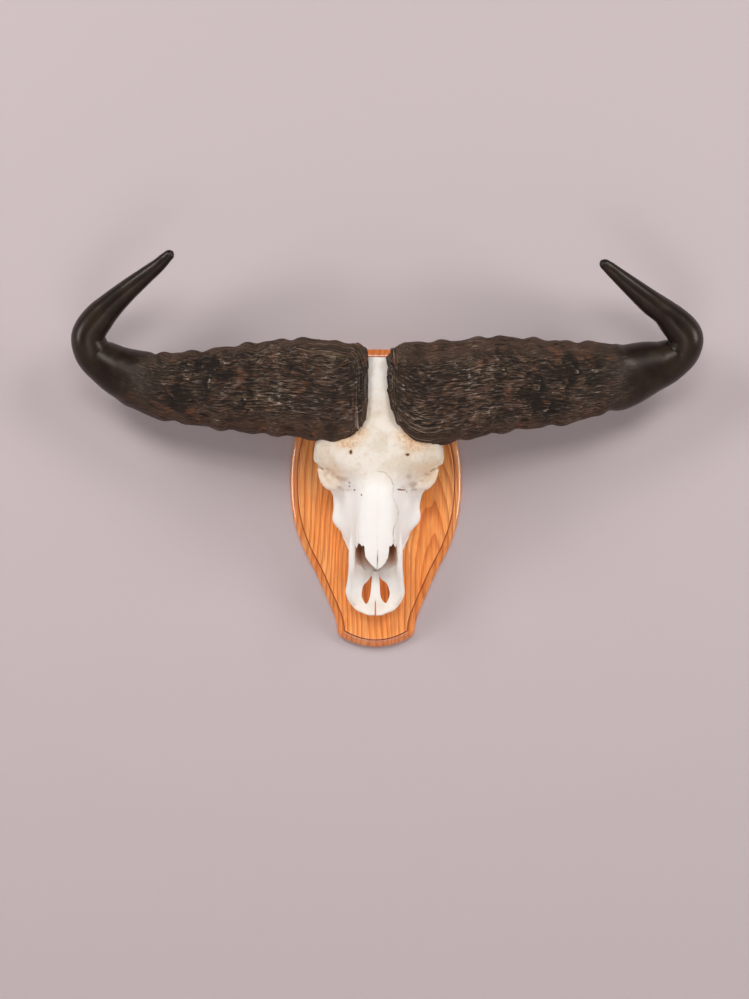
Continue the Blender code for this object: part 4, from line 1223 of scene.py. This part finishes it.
def warts_on(x, out, z):
    """How warty the bone is, along the eye rims."""
    warts = np.zeros(len(x))
    for rows in both_sides(BROW[2:]):
        for wart_x, wart_out, wart_z, _ in along(rows, WART_STATIONS):
            across = x - wart_x - midline_at(wart_z)
            near = np.sqrt(across**2 + ((out - wart_out) / WART_DEEP) ** 2 + (z - wart_z) ** 2)
            warts = np.maximum(warts, fade(near, 12, 5))
    return warts * fade(z, 60, 48)


def stains_and_shade_on(x, out, z):
    """How brown the bone is painted: blots on the face that are partly stains and partly painted shade, and
    painted shade in its small openings.
    """
    blots = [(*row, 1.0, 0.2) for row in STAINS_AND_SHADE]
    blots += [(*row[:4], HOLE_SHADE, 1.3, 0.8) for row in FORAMINA]
    stains = np.zeros(len(x))
    for at_x, at_z, wide, high, strength, edge, core in blots:
        away = np.hypot((x - at_x) / wide, (z - at_z) / high)
        stains = np.maximum(stains, strength * fade(away, edge, core))
    return stains * fade(out, 95, 110)


def mark_skull(skull, horns):
    """Stores where the bone is crusted, stained, tinted, hollow and warty. Part of the stains, the warm tint
    on the floor of the nose, part of the nose's dark inside and all of the hollows are painted shade.
    """
    spots = points_of(skull)
    x, out, z = (spots * (1, -1, 1)).T / MM
    (left, right), height = EYE_TINT_X, EYE_TINT_Z
    eyes = np.minimum(np.hypot(x - right, z - height), np.hypot(x - left, z - height))
    in_nose = fade(np.abs(x), 36, 32) * fade(z, -131, -124) * fade(z, 0, -30) * fade(out, 48, 54)
    # painted shade: the floor under the nose bones' tips, where their shadow falls, gets a warm cream tint
    nose_floor_shade = fade(np.abs(x), 38, 33) * fade(z, -144, -122) * fade(z, -78, -96) * fade(out, 114, 104)
    forehead = fade(z, 5, 50) * fade(z, 200, 130)
    warm = 0.10 + 0.72 * forehead + 0.04 * fade(z, 120, 200) + 0.15 * fade(eyes, 44, 14)
    warm += 0.15 * fade(z, -160, -185) + 0.4 * nose_floor_shade + 0.25 * fade(x, 30, 70) * fade(z, 5, 40)
    seam_z, seam_x = np.array(JAW_SEAM).T
    marks = {
        "crust": crust_on(spots, x, out, z, horns),
        "stain": stains_and_shade_on(x, out, z),
        "warm": warm,
        "golden": 0.55 * fade(eyes, 50, 16) * fade(z, 66, 48) + 0.26 * fade(z, -150, -185),
        # partly the bone's own brown and partly painted shade inside the nose, darkest under the nose bones
        "deep": in_nose * fade(z, -128, -80) * fade(out, 122, 116),
        # painted shade: how closed in each point lies, which the finish paints as tan shade
        "hollow": fade(openness_of(skull), 0.84, 0.25),
        "beside": (x - np.interp(z, seam_z, seam_x)) * MM,
        "warts": warts_on(x, out, z),
    }
    for name, values in marks.items():
        mark(skull, name, values)


def bone_surface_tree():
    """The bone's surface: slow swells, a porous crust by the horns, warts on the eye rims and fine grain."""
    inputs = (("Geometry", "geometry"), ("Swell Height", 0.0011), ("Crust Height", 0.0022),
              ("Wart Height", 0.0030), ("Grain Height", 0.0003), ("Finish", "material"))
    tree, given = new_group("bone surface", "GeometryNodeTree", inputs, (("Geometry", "geometry"),))
    spot = add(tree, "GeometryNodeInputPosition")
    height = (noise(spot, 42.0, 2.0) - 0.5) * given["Swell Height"]
    height = height + (noise(spot, 260.0, 3.0, 0.65) - 0.5) * stored(tree, "crust") * given["Crust Height"]
    height = height + (noise(spot, 125.0, 2.0) - 0.46) * stored(tree, "warts") * given["Wart Height"]
    height = height + (noise(spot, 330.0, 2.0) - 0.5) * given["Grain Height"]
    return end_tree(tree, raised(given["Geometry"], height * 2.0), given)


# The cheek teeth.


def tooth_shape():
    """One upper molar, 1 long, 1 wide and 1 high: four pillars in two pairs, and crescents in its crown."""
    shape = bmesh.new()
    outline = []
    for a in round_angles(TOOTH_SIDES):
        ripple = 0.5 * (1 + 0.09 * math.cos(4 * a) - 0.05 * math.cos(2 * a))
        x, z = squared(math.cos(a), TOOTH_SQUARE), squared(math.sin(a), TOOTH_SQUARE)
        outline.append((x * ripple, z * ripple))
    add_rings(shape, [[(swell * x / MM, -height / MM, swell * z / MM) for x, z in outline]
                      for height, swell in TOOTH_PROFILE])
    for corner in shape.verts:
        crown = min(1.0, max(0.0, (-corner.co.y - 0.8) / 0.15))
        crescents = math.cos(2 * math.tau * corner.co.z) * math.cos(math.tau * corner.co.x)
        corner.co.y += TOOTH_HOLLOW * crown * crescents
    return object_of(shape, "tooth pattern")


def tooth_row_tree():
    """A tooth on each point of the rows, in its own size."""
    inputs = (("Geometry", "geometry"), ("Tooth", "object"), ("Finish", "material"))
    tree, given = new_group("tooth rows", "GeometryNodeTree", inputs, (("Geometry", "geometry"),))
    pattern = add(tree, "GeometryNodeObjectInfo", {"Object": given["Tooth"]}, "Geometry")
    points = add(tree, "GeometryNodeMeshToPoints", {"Mesh": given["Geometry"]})
    inputs = {"Points": points, "Instance": pattern, "Scale": stored(tree, "size", "FLOAT_VECTOR")}
    return end_tree(tree, add(tree, "GeometryNodeInstanceOnPoints", inputs), given)


def make_teeth(finish):
    pattern = tooth_shape()
    spots, sizes = [], []
    for side in (-1, 1):
        for z, length, width, x in TEETH:
            spots.append(Vector((side * x + midline_at(z), -TOOTH_ROOT, z)) * MM)
            sizes.append((2 * width, TOOTH_TIP - TOOTH_ROOT, 2 * length))
    mesh = bpy.data.meshes.new("cheek_teeth")
    mesh.from_pydata(spots, [], [])
    teeth = linked("cheek_teeth", mesh)
    mark(teeth, "size", np.array(sizes) * MM)
    grow(teeth, tooth_row_tree(), tooth=pattern, finish=finish)
    bpy.data.objects.remove(pattern, do_unlink=True)
    return teeth


# The stage.


def make_stage():
    """A pale wall just behind the plaque, which curves into a pale floor."""
    shape = bmesh.new()
    profile = [(WALL_PLACE, WALL_TOP)]
    for a in np.linspace(0, math.pi / 2, WALL_TURN_STEPS):
        profile.append((WALL_PLACE - WALL_ROUND * (1 - math.cos(a)), FLOOR + WALL_ROUND * (1 - math.sin(a))))
    profile.append((FLOOR_FRONT, FLOOR))
    rows = [[shape.verts.new((x, y, z)) for x in (-STAGE_WIDE, STAGE_WIDE)] for y, z in profile]
    for row, following in zip(rows, rows[1:]):
        shape.faces.new((row[0], following[0], following[1], row[1]))
    mesh = bpy.data.meshes.new("backdrop")
    shape.to_mesh(mesh)
    shape.free()
    mesh.materials.append(stage_material())
    mesh.shade_smooth()
    return linked("backdrop", mesh)


def make_lights():
    """Large soft lights in front, above, below and at the sides, and one behind for the plaque's back."""
    for name, spot, size, power in LIGHTS:
        data = bpy.data.lights.new(name + " softbox", "AREA")
        data.shape = "RECTANGLE"
        data.size, data.size_y = size
        data.energy = power
        light = linked(name + " softbox", data)
        light.location = spot
        light.rotation_euler = (Vector(LIT_SPOT) - Vector(spot)).to_track_quat("-Z", "Y").to_euler()
    world = bpy.data.worlds.new("studio air")
    world.use_nodes = True
    fill(world.node_tree.nodes["Background"], {"Color": AIR_COLOUR, "Strength": AIR_STRENGTH})
    bpy.context.scene.world = world
    bpy.context.scene.view_settings.view_transform = "Standard"


def make_camera():
    data = bpy.data.cameras.new("camera")
    data.lens = CAMERA_LENS
    camera = linked("camera", data)
    camera.location = CAMERA_SPOT
    camera.rotation_euler = (math.radians(90), 0, 0)
    bpy.context.scene.camera = camera


def main():
    make_camera()
    make_lights()
    make_stage()
    skull = skull_body()
    left = horn_skin("horn_sheath_left", HORN_LEFT)
    right = horn_skin("horn_sheath_right", HORN_RIGHT, HORN_RIGHT_FRAY)
    mark_skull(skull, (left, right))
    growth, keratin = growth_tree(), horn_material()
    for horn in (left, right):
        grow(horn, growth, finish=keratin)
    grow(skull, bone_surface_tree(), finish=bone_material())
    pieces = (
        (make_plaque(oak_material()), "plaque", "oak"),
        (skull, "skull", "bone"),
        (left, "horn_left", "keratin"),
        (right, "horn_right", "keratin"),
        (make_teeth(enamel_material()), "skull", "bone"),
    )
    for piece, node, slot in pieces:
        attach(piece, "root")
        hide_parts(node)


main()
